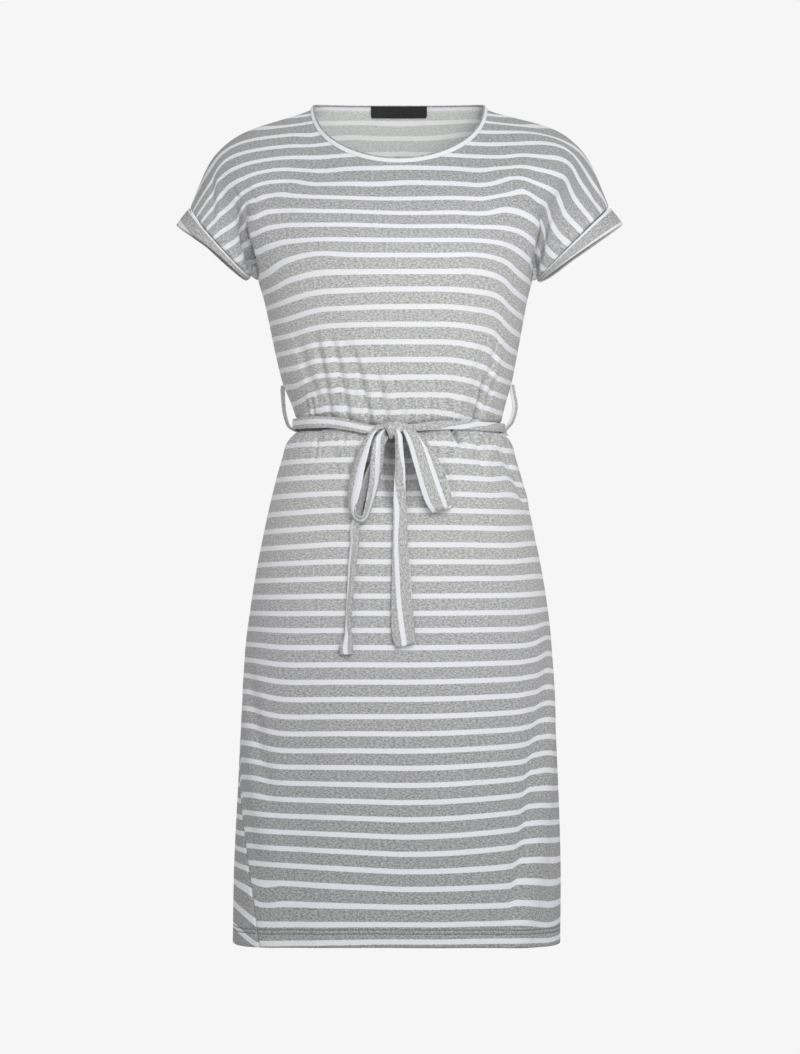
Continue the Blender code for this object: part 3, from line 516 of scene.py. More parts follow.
class Nodes:
    """The nodes of a material or world: add() puts in any node and gives one of its outputs."""

    def __init__(self, owner):
        owner.use_nodes = True
        self.owner, self.tree = owner, owner.node_tree

    def add(self, kind, settings=None, inputs=None, outlet=0):
        node = self.tree.nodes.new(kind)
        for key, value in (settings or {}).items():
            setattr(node, key, value)
        self.fill(node, inputs or {})
        return Value(self, node.outputs[outlet])

    def fill(self, node, inputs):
        """Sets or links sockets of a node, which may be given by its name."""
        node = self.tree.nodes[node] if isinstance(node, str) else node
        for key, value in inputs.items():
            if isinstance(value, Value):
                self.tree.links.new(value.socket, node.inputs[key])
            else:
                node.inputs[key].default_value = value

    def place(self):
        """The place on the object, in metres."""
        return self.add("ShaderNodeTexCoord", outlet=3)

    def split(self, vector):
        """The x, y and z of a vector."""
        x = self.add("ShaderNodeSeparateXYZ", inputs={0: vector})
        return x, x.outlet(1), x.outlet(2)

    def noise(self, vector, stretch, detail=1.0, scale=1.0):
        """Noise whose grain is squeezed by stretch along each axis."""
        squeezed = self.add("ShaderNodeMapping", inputs={"Vector": vector, "Scale": stretch})
        return self.add("ShaderNodeTexNoise", inputs={"Vector": squeezed, "Scale": scale, "Detail": detail,
                                                      "Roughness": 0.6})

    def blend(self, share, first, second):
        """A colour between two, by a share."""
        return self.add("ShaderNodeMix", {"data_type": "RGBA"}, {0: share, 6: first, 7: second}, outlet=2)

    def ramp(self, value, low, high):
        """0 at low, 1 at high, smooth between."""
        return self.add("ShaderNodeMapRange", {"interpolation_type": "SMOOTHSTEP"},
                        {0: value, 1: low, 2: high})

    def bump(self, strength, distance, height):
        return self.add("ShaderNodeBump", inputs={"Strength": strength, "Distance": distance, "Height": height})

    def surface(self, **sockets):
        """Fills the shader's sockets, whose names are written with underscores, and gives the material."""
        self.fill("Principled BSDF", {key.replace("_", " "): value for key, value in sockets.items()})
        return self.owner


GREY_LOW, GREY_HIGH = (0.315, 0.32, 0.315, 1), (0.68, 0.685, 0.675, 1)
# Darker greys for the marl towards the hem and the shoulders: painted shade.
PAINTED_SHADE_LOW, PAINTED_SHADE_HIGH = (0.21, 0.213, 0.213, 1), (0.51, 0.515, 0.515, 1)
WHITE_LOW, WHITE_HIGH = (0.79, 0.795, 0.825, 1), (0.885, 0.89, 0.925, 1)
# The inside face: paler, as a marl's reverse is, and lifted further as painted light, since little light reaches
# inside the dress.
REVERSE_GREY_AND_PAINTED_LIGHT, REVERSE_WHITE_AND_PAINTED_LIGHT = (0.80, 0.815, 0.80, 1), (0.96, 0.965, 0.96, 1)
LABEL_LOW, LABEL_HIGH = (0.016, 0.016, 0.018, 1), (0.028, 0.028, 0.03, 1)
THREAD_LOW, THREAD_HIGH = (0.10, 0.10, 0.10, 1), (0.19, 0.19, 0.19, 1)
STRIPE_SHARE = 0.30     # of a pitch that is white
STRIPE_SOFTNESS = 0.012
WALES, COURSES = 22, 28 # knitted columns and rows to a pitch


def jersey(name, gathered=True):
    """Grey marl single jersey with white stripes. The fabric map's unit is one stripe pitch.

    The grey is painted darker towards the shoulders and the hem, as painted shade. Near the waist seam,
    where the map's height is 0, the gathers pull the stripes and the cloth into short ticks, which
    also darken and lighten the marl there as painted shade in the pleats.
    """
    nodes = Nodes(bpy.data.materials.new(name))
    fabric = nodes.add("ShaderNodeUVMap", {"uv_map": "fabric"})
    across, up, _ = nodes.split(fabric)
    ticks = nodes.noise(fabric, (3.4, 0.45, 1))
    near_waist = nodes.ramp(up.maths("ABSOLUTE"), 3.4, 0.2) * (1.0 if gathered else 0.0)
    courses = nodes.noise(fabric, (9, 24, 1))
    wander = (courses - 0.5) * (0.06 if gathered else 0.035) + (ticks - 0.5) * near_waist * 0.16
    from_stripe = (up + wander + 0.5).maths("FRACT") - 0.5
    white = nodes.ramp(from_stripe.maths("ABSOLUTE"), STRIPE_SHARE / 2 + STRIPE_SOFTNESS,
                       STRIPE_SHARE / 2 - STRIPE_SOFTNESS)
    marl = nodes.noise(fabric, (5.4, 11, 1), detail=2.0)
    fleck = nodes.noise(fabric, (11, 21, 1))
    # The ticks near the waist also darken and lighten the marl: painted shade in the pleats.
    heather_and_pleat_shade = nodes.ramp(marl * 0.55 + fleck * 0.45 + (ticks - 0.5) * near_waist * 0.25, 0.36, 0.64)
    height = nodes.split(nodes.place())[2]
    # painted shade: the grey is darker towards the hem and the shoulders
    deep = nodes.ramp(height, -0.42, -0.90) * 0.9 + nodes.ramp(height, -0.24, -0.06) * 0.85
    grey = nodes.blend(heather_and_pleat_shade, nodes.blend(deep, GREY_LOW, PAINTED_SHADE_LOW), nodes.blend(deep, GREY_HIGH, PAINTED_SHADE_HIGH))
    pale = nodes.blend(nodes.ramp(fleck, 0.3, 0.7), WHITE_LOW, WHITE_HIGH)
    face = nodes.blend(white, grey, pale)
    inside = nodes.add("ShaderNodeAttribute", {"attribute_name": "reverse"}, outlet=2)
    # The inside's colours: a paler reverse, partly painted light.
    reverse = nodes.blend(white, nodes.blend(heather_and_pleat_shade * 0.45, REVERSE_GREY_AND_PAINTED_LIGHT, GREY_LOW), REVERSE_WHITE_AND_PAINTED_LIGHT)
    wale_wave = (across * (math.tau * WALES)).maths("SINE")
    course_wave = (up * (math.tau * COURSES)).maths("SINE")
    knit = wale_wave * 0.25 + course_wave * 0.15 + fleck * 0.5 + ticks * near_waist * 2.6
    return nodes.surface(Base_Color=nodes.blend(inside, face, reverse), Roughness=0.92, Specular_IOR_Level=0.15,
                         Sheen_Weight=0.15, Sheen_Roughness=0.6, Normal=nodes.bump(0.5, 0.0008, knit))


def woven_label(name):
    """A plain dark satin label, with a fine diagonal weave."""
    nodes = Nodes(bpy.data.materials.new(name))
    across, up, _ = nodes.split(nodes.add("ShaderNodeUVMap", {"uv_map": "fabric"}))
    weave = ((across + up) * (math.tau * 30)).maths("SINE")
    colour = nodes.blend(nodes.ramp(weave, -1.0, 1.0), LABEL_LOW, LABEL_HIGH)
    return nodes.surface(Base_Color=colour, Roughness=0.6, Specular_IOR_Level=0.2,
                         Normal=nodes.bump(0.3, 0.0002, weave))


def thread(name):
    """Grey sewing thread with a twist."""
    nodes = Nodes(bpy.data.materials.new(name))
    twist = nodes.noise(nodes.place(), (1, 1, 1), detail=2.0, scale=900.0)
    return nodes.surface(Base_Color=nodes.blend(twist, THREAD_LOW, THREAD_HIGH), Roughness=0.8)


# ---------------------------------------------------------------- the bodice's form

def neck_edge(face, turn):
    """The neck edge: a half ellipse from the left end (turn 0) over the centre (90) to the right (180)."""
    reach, rise = YOKES[face][:2]
    a = np.radians(turn)
    return np.stack([-NECK_HALF_WIDTH * np.cos(a), NECK_END_Y + face * reach * np.sin(a),
                     NECK_END_Z + rise * np.sin(a)], axis=-1)


def cuff_seam(side, face, turn):
    """The cuff seam: a half ellipse from the top of the arm (turn 0) to under it (180), bowed down."""
    over, under, bows = SLEEVES[side][1:4]
    over = np.array([side * over[0], CUFF_OVER_Y, over[1]], float)
    under = np.array([side * under[0], 0, under[1]], float)
    a = np.radians(turn)[..., None]
    bow = bows[0 if face == FRONT else 1] * np.maximum(0, np.sin(a))**0.7
    return ((over + under) / 2 + (over - under) / 2 * np.cos(a)
            + np.array([0, face * CUFF_HALF_DEPTH, 0]) * np.sin(a) + bow * np.array([side * 0.5, 0, -0.87]))


def sleeve_run(side, face, turn):
    """The way the cloth runs down the sleeve where it reaches the cuff."""
    a = np.radians(turn)
    under = np.maximum(0, -np.cos(a))
    return unit(np.stack([side * (0.38 + 0.10 * (1 - np.cos(a))), -face * 0.25 * under * np.sin(a),
                          -0.87 + 0 * a], axis=-1))


def shoulder_cap(side, face, share):
    """The shoulder ring over the arm: an ellipse arc down to the armpit fold."""
    ridge_x, ridge_z = SLEEVES[side][0]
    end_x, end_reach, end_z = YOKES[face][4]
    ridge = np.array([side * ridge_x, NECK_END_Y, ridge_z], float)
    end = np.array([side * end_x, face * end_reach, end_z], float)
    middle = np.array([side * (end_x + 6), NECK_END_Y, (ridge_z + end_z) / 2 - 14])
    forward = np.array([side * 8, face * (end_reach + 4) + NECK_END_Y, -14])
    last = math.radians(112)
    a = last * share[:, None]
    arc = middle + (ridge - middle) * np.cos(a) + forward * np.sin(a)
    arc_end = middle + (ridge - middle) * math.cos(last) + forward * math.sin(last)
    cap = arc + (end - arc_end) * share[:, None]**2
    cap[0, 1] += face * SEAM / 2
    return cap


def shoulder_chest(side, face, angle):
    """The shoulder ring across the chest, from beside the armpit (angle 90) to the centre (0): with
    s the sine of the angle, x follows s, y follows s^3 and z follows s^2."""
    mid_reach, mid_z, (end_x, end_reach, end_z) = YOKES[face][2:]
    across = np.abs(np.sin(np.radians(angle)))
    return np.stack([side * (end_x - 5) * across,
                     face * (mid_reach - (mid_reach - end_reach - 3) * across**3),
                     mid_z + (end_z - 4 - mid_z) * across**2], axis=-1)


# Where the stripes lie, counted in pitches above the waist's first white stripe: at the neck's
# end, and how much lower at the neck's centre.
SHOULDER_ROW, NECK_DIP = 19.93, {FRONT: 4.59, BACK: 0.23}
# Shoulder ring: over the arm, then across the chest; and the same halfway to the outer edge.
BACK_CHEST_ROWS = (13.3, 13.4, 13.5, 13.6, 13.7, 13.8, 13.85, 13.9, 13.95, 14.0, 14.0, 14.0)
RING_STRIPES = {
    (FRONT, LEFT): ((18.6, 18.4, 18.1, 17.3, 16.5, 15.65, 14.75, 13.85, 13.1),
                    (12.86, 12.86, 12.8, 12.75, 12.76, 12.76, 12.75, 12.75) + (12.74,) * 4),
    (FRONT, RIGHT): ((18.6, 18.4, 18.0, 16.86, 16.06, 15.38, 14.65, 13.93, 13.19),
                     (12.9, 12.87, 12.84, 12.8, 12.78, 12.77, 12.76, 12.75) + (12.74,) * 4),
    (BACK, LEFT): ((18.6, 18.4, 18.1, 17.3, 16.5, 15.65, 14.85, 14.15, 13.5), BACK_CHEST_ROWS),
    (BACK, RIGHT): ((18.6, 18.4, 18.0, 17.1, 16.2, 15.45, 14.75, 14.1, 13.5), BACK_CHEST_ROWS),
}
HALFWAY_STRIPES = {
    (FRONT, LEFT): ((18.65, 18.3, 17.6, 16.05, 14.75, 13.65, 12.5, 11.55, 11.1),
                    (10.9, 10.95, 10.85, 10.77, 10.6, 10.45, 10.43) + (10.42,) * 5),
    (FRONT, RIGHT): ((18.3, 18.0, 17.0, 15.85, 14.67, 13.6, 12.8, 11.85, 11.4),
                     (11.6, 11.6, 11.45, 11.2, 10.87, 10.65, 10.5, 10.44) + (10.42,) * 4),
    (BACK, LEFT): ((18.65, 18.3, 17.4, 16.0, 14.8, 13.8, 12.8, 12.0, 11.5),
                   (11.3, 11.3, 11.25) + (11.2,) * 9),
    (BACK, RIGHT): ((18.3, 18.0, 17.0, 15.85, 14.7, 13.7, 12.8, 12.0, 11.6),
                    (11.5, 11.5, 11.4, 11.3) + (11.2,) * 8),
}
CUFF_STRIPES = {LEFT: (18.6, 17.8, 16.25, 14.4, 12.8, 11.6, 10.7, 10.05, 9.8),
                RIGHT: (17.9, 16.95, 15.85, 14.7, 13.48, 12.38, 11.33, 10.4, 9.75)}
# How many pitches higher a stripe number reads towards the sides: at angles from the centre,
# and how much of that is left at heights down the bodice.
SIDE_ANGLES = (0, 30, 49, 57, 65.5, 78, 90)
SIDE_RISE = {LEFT: (0, 0.02, 0.30, 0.56, 0.74, 0.78, 0.78), RIGHT: (0, 0.02, 0.28, 0.66, 0.90, 1.0, 1.03)}
SIDE_HEIGHTS = (386, 354, 294, 278, 205)
SIDE_LEFT = {LEFT: (0.15, 0.19, 0.40, 0.46, 1.0), RIGHT: (0.6, 0.7, 1.17, 1.15, 1.0)}


def body_stripes(angle, height):
    """The stripe number on the bodice below the bust ring: the height in pitches, and a rise at the
    sides that is the product of a curve round the body and a curve down it."""
    turned = turned_back(angle)
    from_centre = 90 - np.abs(90 - np.abs(turned))
    rise = {s: through(SIDE_RISE[s], from_centre, SIDE_ANGLES)
            * through(SIDE_LEFT[s][::-1], -height, SIDE_HEIGHTS[::-1]) for s in (LEFT, RIGHT)}
    return (height - BODICE_FIRST) / BODICE_PITCH + np.where(turned < 0, rise[LEFT], rise[RIGHT])


def column_angle(face, side, at):
    """The angle round the body of a chest column."""
    from_centre = (CENTRE_COLUMN - at) / CHEST_COLUMNS * (90 - SEAM_ANGLE)
    return side * from_centre if face == FRONT else 180 - side * from_centre


def yoke_columns(side, face, at):
    """Per column from the shoulder line to the centre: neck, shoulder ring, outer edge, run, stripes."""
    share = np.arange(CAP_COLUMNS + 1) / CAP_COLUMNS
    chest = np.arange(CHEST_COLUMNS + 1) / CHEST_COLUMNS
    turn = 0.3 + 179.4 * share
    neck_turn = np.concatenate([0.15 + 35.85 * share, 40 + 50 * chest])
    angle = column_angle(face, side, CHEST_START + np.arange(CHEST_COLUMNS + 1))
    ring = np.concatenate([shoulder_cap(side, face, share), shoulder_chest(side, face, angle)])
    here, below = ring_points(BODICE, BUST_Z, angle), ring_points(BODICE, -230, angle)
    neck = through(neck_turn, at, COLUMN_PLACES)
    mid = through(ring, at, COLUMN_PLACES)
    on_cap, on_chest = np.clip(at, 0, CAP_COLUMNS), np.clip(at, CHEST_START, CENTRE_COLUMN) - CHEST_START
    gap = np.clip((at - CAP_COLUMNS) / (CHEST_START - CAP_COLUMNS), 0, 1)
    both = lambda cap, trunk: (through(cap, on_cap) * (1 - gap[:, None]) + through(trunk, on_chest) * gap[:, None])
    outer = both(cuff_seam(side, face, turn), here)
    run = both(1.5 * sleeve_run(side, face, turn), unit(below - here))
    front_turn = neck if side == LEFT else 180 - neck
    neck_rows = SHOULDER_ROW + 0.65 * bell(neck / 11) - NECK_DIP[face] * np.sin(np.radians(neck))
    cuff_rows = through(CUFF_STRIPES[side], on_cap)
    chest_rows = body_stripes(column_angle(face, side, CHEST_START + on_chest), np.full(len(at), float(BUST_Z)))
    stripes = np.stack([neck_rows, through(np.concatenate(RING_STRIPES[face, side]), at, COLUMN_PLACES),
                        through(np.concatenate(HALFWAY_STRIPES[face, side]), at, COLUMN_PLACES),
                        cuff_rows * (1 - gap) + chest_rows * gap])
    return neck_edge(face, front_turn), mid, outer, run, stripes


# The hollow at each armpit: its line's top and foot (x, z), and its depth.
ARMPITS = ((-205, -120, -174, -205, 7.0), (208, -90, 168, -207, 4.0))
# How far the cloth at each armpit stands further out to the side: place (x, z), reach, shift.
ARMPIT_SHIFTS = ((LEFT, -160, -136, 34, 14), (RIGHT, 158, -156, 34, 5))


def armpit_offset(x, z):
    """The soft hollow where each sleeve tucks in beside the chest: a soft trough along a line."""
    total = 0.0
    for top_x, top_z, foot_x, foot_z, deep in ARMPITS:
        run_x, run_z = foot_x - top_x, foot_z - top_z
        share = ((x - top_x) * run_x + (z - top_z) * run_z) / (run_x**2 + run_z**2)
        away = np.hypot(x - top_x - share * run_x, z - top_z - share * run_z)
        inside = (share > -0.3) & (share < 1.2)
        total = total - deep * inside * np.clip((share + 0.3) / 0.6, 0, 1) * soft_bump(away / 18)
    return total


EDGE_STEPS = (0.02, 0.06, 0.12, 0.22)   # extra columns beside a seam, as shares of a column
WAIST_PLEATS = gathers(seed=5, count=62, spread=2.4)
SKIRT_PLEATS = gathers(seed=8, count=70, spread=2.2)


def panel_columns():
    """Column places from the shoulder line to the centre, closer together beside the seams."""
    cap = np.concatenate([[0], EDGE_STEPS, np.linspace(0, CAP_COLUMNS, 6 * CAP_COLUMNS + 1)[2:]])
    chest = np.concatenate([[8.25, CHEST_START], CHEST_START + np.array(EDGE_STEPS),
                            np.linspace(CHEST_START, CENTRE_COLUMN, 8 * CHEST_COLUMNS + 1)[3:]])
    return cap, chest


def eased(values, at, rows):
    """Evens out the columns beside the armpit, where the sleeve's rows meet the chest's."""
    weight = bell((at - CAP_COLUMNS - 0.25) / 0.8) * rows
    for _ in range(24):
        around = values.copy()
        around[:, 1:-1] = (values[:, :-2] + values[:, 2:]) / 2
        values = values + (around - values) * 0.5 * weight.reshape(weight.shape + (1,) * (values.ndim - 2))
    return values


def belt_press(angle, height):
    """How far the belt's two edges press the cloth in."""
    middle, wide = belt_run(angle)[:2]
    return -PRESS * bell((np.abs(height - middle) - wide / 2) / PRESS_REACH)


def seam_tuck(distance):
    """How far cloth turns in beside a seam, by its distance from it."""
    return -TUCK * np.exp(-(np.maximum(distance, 0) / TUCK_REACH)**1.2)


def mirrored(halves, axis=0):
    """The left half's columns, then the right half's from the centre out. The centre is kept once."""
    left, right = halves
    return np.concatenate([left, np.delete(np.flip(right, axis), 0, axis)], axis)


def from_middle(grid):
    """How far each point lies from its row's middle, and from the nearer end of its row."""
    run = along(grid)
    middle = run.shape[1] // 2
    return run - run[:, middle:middle + 1], np.minimum(run, run[:, -1:] - run)


def bodice(face, node):
    """The front or back with its half of both sleeves: a yoke grid and a body grid joined at the bust.

    A yoke column is two cubics, from the neck to the shoulder ring and on to the cuff seam or the
    bust. The body is made of rings. Every point then moves along its normal by the creases,
    pleats, the belt's press and the tuck at the seams.
    """
    cap, chest = panel_columns()
    at = np.concatenate([cap, chest])
    first = len(cap) + 1
    halves = list(zip(*(yoke_columns(side, face, at) for side in (LEFT, RIGHT))))
    neck, mid, outer, run = (mirrored(half)[None] for half in halves[:4])
    marks = mirrored(halves[4], axis=1)
    places = mirrored((at, at))
    share = np.concatenate([[0, 0.008, 0.02], np.linspace(0.035, 1, 36), np.linspace(1, 1.96, 44)[1:],
                            [1.97, 1.98, 1.988, 1.995, 2.0]])
    s = share[:, None, None]
    near, far = length_of(mid - neck), length_of(outer - mid)
    way = (outer - neck) / (near + far)
    yoke = np.where(s <= 1, hermite(neck, mid, mid - neck, way * near, np.minimum(s, 1)),
                    hermite(mid, outer, way * far * 1.15, run * far, np.maximum(s - 1, 0)))
    free = between(share, 0.1, 0.5)[:, None] * (1 - between(share, 1.75, 1.95))[:, None]
    yoke = eased(yoke, places, free)
    for side, x, z, reach, shift in ARMPIT_SHIFTS:
        yoke[..., 0] += side * shift * bell((yoke[..., 0] - x) / 17) * bell((yoke[..., 2] - z) / reach)

    rows, columns = yoke.shape[:2]
    last = columns - first
    angles = np.concatenate([column_angle(face, LEFT, at[first:]), column_angle(face, RIGHT, at[first:])[-2::-1]])
    heights = np.concatenate([np.linspace(BUST_Z, WAIST_Z + 2.5, 88)[1:], WAIST_Z + np.array([1.6, 0.9, 0.4, 0.15])])
    angle, height = np.meshgrid(np.degrees(np.unwrap(np.radians(angles))), heights)
    body = ring_points(BODICE, height, angle, fold_offset(BODICE_FOLDS, angle, height, CHEST_RADIUS))
    index = numbered(yoke)
    lower = np.concatenate([index[-1:, first:last], numbered(body, index.size)])
    quads = np.concatenate([grid_quads(index, face == BACK), grid_quads(lower, face == BACK)])
    points = np.concatenate([yoke.reshape(-1, 3), body.reshape(-1, 3)])
    x, z = points[:, 0], points[:, 2]

    # Offsets along the normals. The creases deepen towards the waist.
    both = lambda on_yoke, on_body: np.concatenate([np.ravel(on_yoke), np.ravel(on_body)])
    (yoke_across, yoke_edge), (body_across, body_edge) = from_middle(yoke), from_middle(body)
    edge = both(yoke_edge, body_edge)
    fade = between(edge, 0, 12)
    creases, jog = crease_field(BODICE_CREASES[face], x, z)
    pleat = both(0 * yoke_edge, BODICE_GATHER * gather_field(WAIST_PLEATS, angle, height - WAIST_Z, WAIST_RADIUS))
    tucked = np.repeat((between(share, 0, 0.3) * (1 - between(share, 1.7, 2.0)))[:, None], columns, axis=1)
    foot = np.full((rows, columns), 99.0)
    for sleeve in (slice(first), slice(last, None)):
        foot[:, sleeve] = (2 - s[:, 0]) * far[0, sleeve, 0]
    offset = armpit_offset(x, z) * both(tucked, 0 * body_edge)
    offset += creases * fade * (1 + 0.45 * between(-z, 250, 300)) + pleat
    offset += both(0 * yoke_edge, belt_press(angle, height))
    offset += seam_tuck(np.minimum(edge, both(foot, height - WAIST_Z)))
    points = points + point_normals(points, quads) * offset[:, None]

    stripes = both(eased(through(marks, share, (0, 1, 1.5, 2)), places, free), body_stripes(angle, height))
    stripes += jog * fade / PITCH + pleat * PLEAT_PULL
    stripes -= drift_field(BODICE_DRIFTS[face], x, z) * fade
    fabric = np.stack([both(yoke_across, body_across) / PITCH, stripes], axis=1)
    return make_panel(node + "_cloth", points, quads, fabric, CLOTH, JERSEY, "striped_jersey", node)


# ---------------------------------------------------------------- the skirt

def hem_drop(angle, height):
    """The skirt's rows dip towards the sides, fully at the hem."""
    return HEM_SIDE_DROP * (height - WAIST_Z) / (HEM_Z - WAIST_Z) * np.sin(np.radians(angle))**2


KNOT_HOLLOW, LOOP_SLIT = 52, 32     # how far the skirt folds in behind the knot and the left loop


def recess(x, z):
    """How far the skirt's front folds in: an upright trough down from the knot and a slanting slit
    beside it. Both are bells across, and rise and fade along their height."""
    slit = LOOP_SLIT * bell((x + 35 + (-425 - z) / 6) / 6.5) * between(-z, 418, 440) * between(z, -492, -478)
    return KNOT_HOLLOW * bell((x + 3) / 16) * between(-z, 387, 400) * between(z, -500, -428) + slit


def skirt_stripes(points, face):
    """The stripe number on the skirt: the depth below the first white stripe in pitches, and a rise
    that grows as a power of the distance from the centre. The back's rows hang lower on the left."""
    x, y, z = np.moveaxis(points, -1, 0)
    centre, left, right = (np.interp(-z, -SKIRT_RISES[:, 0], SKIRT_RISES[:, k]) for k in (1, 2, 3))
    rise = centre + left * (np.clip(-x, 0, 185) / 125)**1.1 + right * (np.clip(x, 0, 165) / 105)**1.9
    if face == BACK:    # how far the rows lag, in millimetres: in all, and beside the seam's foot
        below = np.interp(-z, (800, 858, 907, 936, 972), (0, 2.3, 5.5, 11.8, 17.3))
        lag = 4.7 * between(-z, 700, 800) * between(-x, -50, 100) + below * np.clip((x + 195) / 30, 0, 1) * (y < 0)
        rise = rise - lag / PITCH
    return rise - (z - SKIRT_FIRST) / SKIRT_PITCH


def skirt(face, node):
    """The front or the back of the skirt: rings between its two side seams, moved along the normals
    by folds, creases, pleats, the belt's press, the tuck at the seams and the hem's grooves."""
    fine = np.array([0.0, 0.001, 0.0025, 0.005, 0.009])
    share = np.concatenate([fine, np.linspace(0.013, 0.987, 214), 1 - fine[::-1]])
    grooves = (WAIST_Z - np.add.outer(HEM_STITCH_ROWS, (-1.1, -0.5, 0, 0.5, 1.1)).ravel()) / (WAIST_Z - HEM_Z)
    depth = np.unique(np.concatenate([[0, 0.0004, 0.001, 0.0025], np.linspace(0.005, 1, 190), grooves]))
    share, height = np.meshgrid(share, WAIST_Z + (HEM_Z - WAIST_Z) * depth - SEAM / 2 * (1 - depth))
    left, right = down_table(LEFT_SEAM, 1, height), down_table(RIGHT_SEAM, 1, height)
    start, end = (left, right) if face == FRONT else (right, 360 + left)
    angle = start + SEAM_ANGLE + (end - start - 2 * SEAM_ANGLE) * share
    grid = ring_points(SKIRT, height, angle, fold_offset(SKIRT_FOLDS, angle, height, HIP_RADIUS))
    stripes = skirt_stripes(grid, face).ravel()
    grid[..., 2] -= hem_drop(angle, height)
    quads, points = grid_quads(numbered(grid)), grid.reshape(-1, 3)
    wide, edge = along(grid), from_middle(grid)[1].ravel()
    creases, jog = crease_field(SKIRT_CREASES[face], points[:, 0], points[:, 2])
    fade = between(edge, 0, 14)
    pleat = SKIRT_GATHER * gather_field(SKIRT_PLEATS, angle, WAIST_Z - height, SKIRT_TOP_RADIUS).ravel()
    offset = creases * fade + pleat + seam_tuck(np.minimum(edge, (WAIST_Z - height).ravel()))
    offset += belt_press(angle, height).ravel()
    for level in HEM_STITCH_ROWS:
        offset -= GROOVE * bell((height.ravel() - level) / GROOVE_REACH)
    points = points + point_normals(points, quads) * offset[:, None]
    stripes += pleat * PLEAT_PULL - jog * fade / PITCH
    if face == FRONT:
        points[:, 1] += recess(points[:, 0], points[:, 2])
        stripes += drift_field(SKIRT_DRIFTS, points[:, 0], points[:, 2]) * fade
    fabric = np.stack([(wide - wide[:, -1:] / 2).ravel() / PITCH, stripes], axis=1)
    piece = make_panel(node + "_cloth", points, quads, fabric, CLOTH, JERSEY, "striped_jersey", node)
    rows = points.reshape(grid.shape), point_normals(points, quads).reshape(grid.shape)
    return piece, hem_stitches(node + "_cloth_hem_stitches", depth, *rows)


def hem_stitches(name, depth, surface, normals):
    """The hem's two rows of short stitches, from a twin needle: four-sided spindles along the row."""
    shapes = []
    for level in HEM_STITCH_ROWS:
        row = np.abs(depth - (WAIST_Z - level) / (WAIST_Z - HEM_Z)).argmin()
        run = along(surface[row])
        at = np.arange(1.5, run[-1] - 4, STITCH_STEP)[:, None] + np.array([0, 0.2, 0.8, 1]) * STITCH_LENGTH
        centre, up = (np.stack([np.interp(at, run, line[:, k]) for k in range(3)], axis=-1)
                      for line in (surface[row], normals[row]))
        side = np.cross(unit(centre[:, -1:] - centre[:, :1]), up)
        girth = np.array(STITCH_GIRTH)[None, :, None, None]
        turn = np.radians([45, 135, 225, 315])
        ring = np.cos(turn)[:, None] * side[:, :, None] + np.sin(turn)[:, None] * up[:, :, None]
        shapes.append((centre[:, :, None] + up[:, :, None] * STITCH_RISE + ring * girth).reshape(-1, 3))
    points = np.concatenate(shapes)
    one = closed_columns(np.arange(16).reshape(4, 4))
    quads = np.concatenate([grid_quads(one), one[:1, [0, 1, 2, 3]], one[3:, [3, 2, 1, 0]]])
    quads = outward(points[:16] - points[:16].mean(axis=0), quads)
    quads = (np.arange(len(points) // 16)[:, None, None] * 16 + quads).reshape(-1, 4)
    return make_piece(name, points, quads, points[:, [0, 2]] / PITCH, THREAD, "striped_jersey", None)


# ---------------------------------------------------------------- bands, belt and bow

def stadium(flat, round_points, roundness):
    """The outline of a folded band: two flat sides and two round edges, as shares of its half sizes."""
    side = np.linspace(-1, 1, flat)[1:-1] * (1 - roundness)
    arc = np.linspace(-90, 90, round_points)
    a, b = (1 - roundness) + roundness * np.cos(np.radians(arc)), np.sin(np.radians(arc))
    return np.stack([np.concatenate([side, a, -side, -a]),
                     np.concatenate([-np.ones(len(side)), b, np.ones(len(side)), -b])], axis=1)


BAND_OUTLINE = stadium(11, 5, 0.10)
BOW_OUTLINE = stadium(33, 7, 0.06)


def band(centres, half_widths, outs, thickness, cup, marks, closed=False, profile=BAND_OUTLINE):
    """A flat folded band along a path: its outline in the plane of its width and its outward vector.

    cup bends the band's middle outwards. marks are the stripe numbers at its two edges.
    """
    count, sides = len(centres), len(profile)
    a, b = profile[:, 0], profile[:, 1]
    cup = np.reshape(cup, (-1, 1))
    bulge = b * thickness / 2 + cup * (1 - a**2)
    if profile is BOW_OUTLINE:
        bulge = bulge - 0.5 * bell((np.abs(a) - 0.82) / 0.06) * np.sign(b)
        bulge = bulge + 0.35 * np.sin(5 * a + np.arange(count)[:, None] / 9.0) * (1 - a**2)
    rings = centres[:, None] + a[None, :, None] * half_widths[:, None] + bulge[..., None] * outs[:, None]
    index = closed_columns(np.arange(count * sides).reshape(count, sides))
    if closed:
        quads = grid_quads(np.concatenate([index, index[:1]]))
    else:
        half = sides // 2
        ends = [np.stack([ring[:half - 1], ring[1:half], ring[::-1][1:half], ring[::-1][:half - 1]], axis=1)
                for ring in (index[0, :sides], index[-1, :sides])]
        quads = np.concatenate([grid_quads(index), ends[0], ends[1][:, ::-1]])
    points = rings.reshape(-1, 3)
    run = along(centres)[:, None] + 0 * a
    marks = np.broadcast_to(marks, (count, 2))
    up = marks.mean(axis=1)[:, None] + a * (marks[:, 1] - marks[:, 0])[:, None] / 2
    return points, outward(points, quads), np.stack([run.ravel() / PITCH, up.ravel()], axis=1)


def facing(arm, way):
    """Turns each way, where need be, so that it points along its arm and not against it."""
    return way * np.sign((way * arm).sum(axis=1, keepdims=True))


NECK_BAND = 6           # the neck binding's width


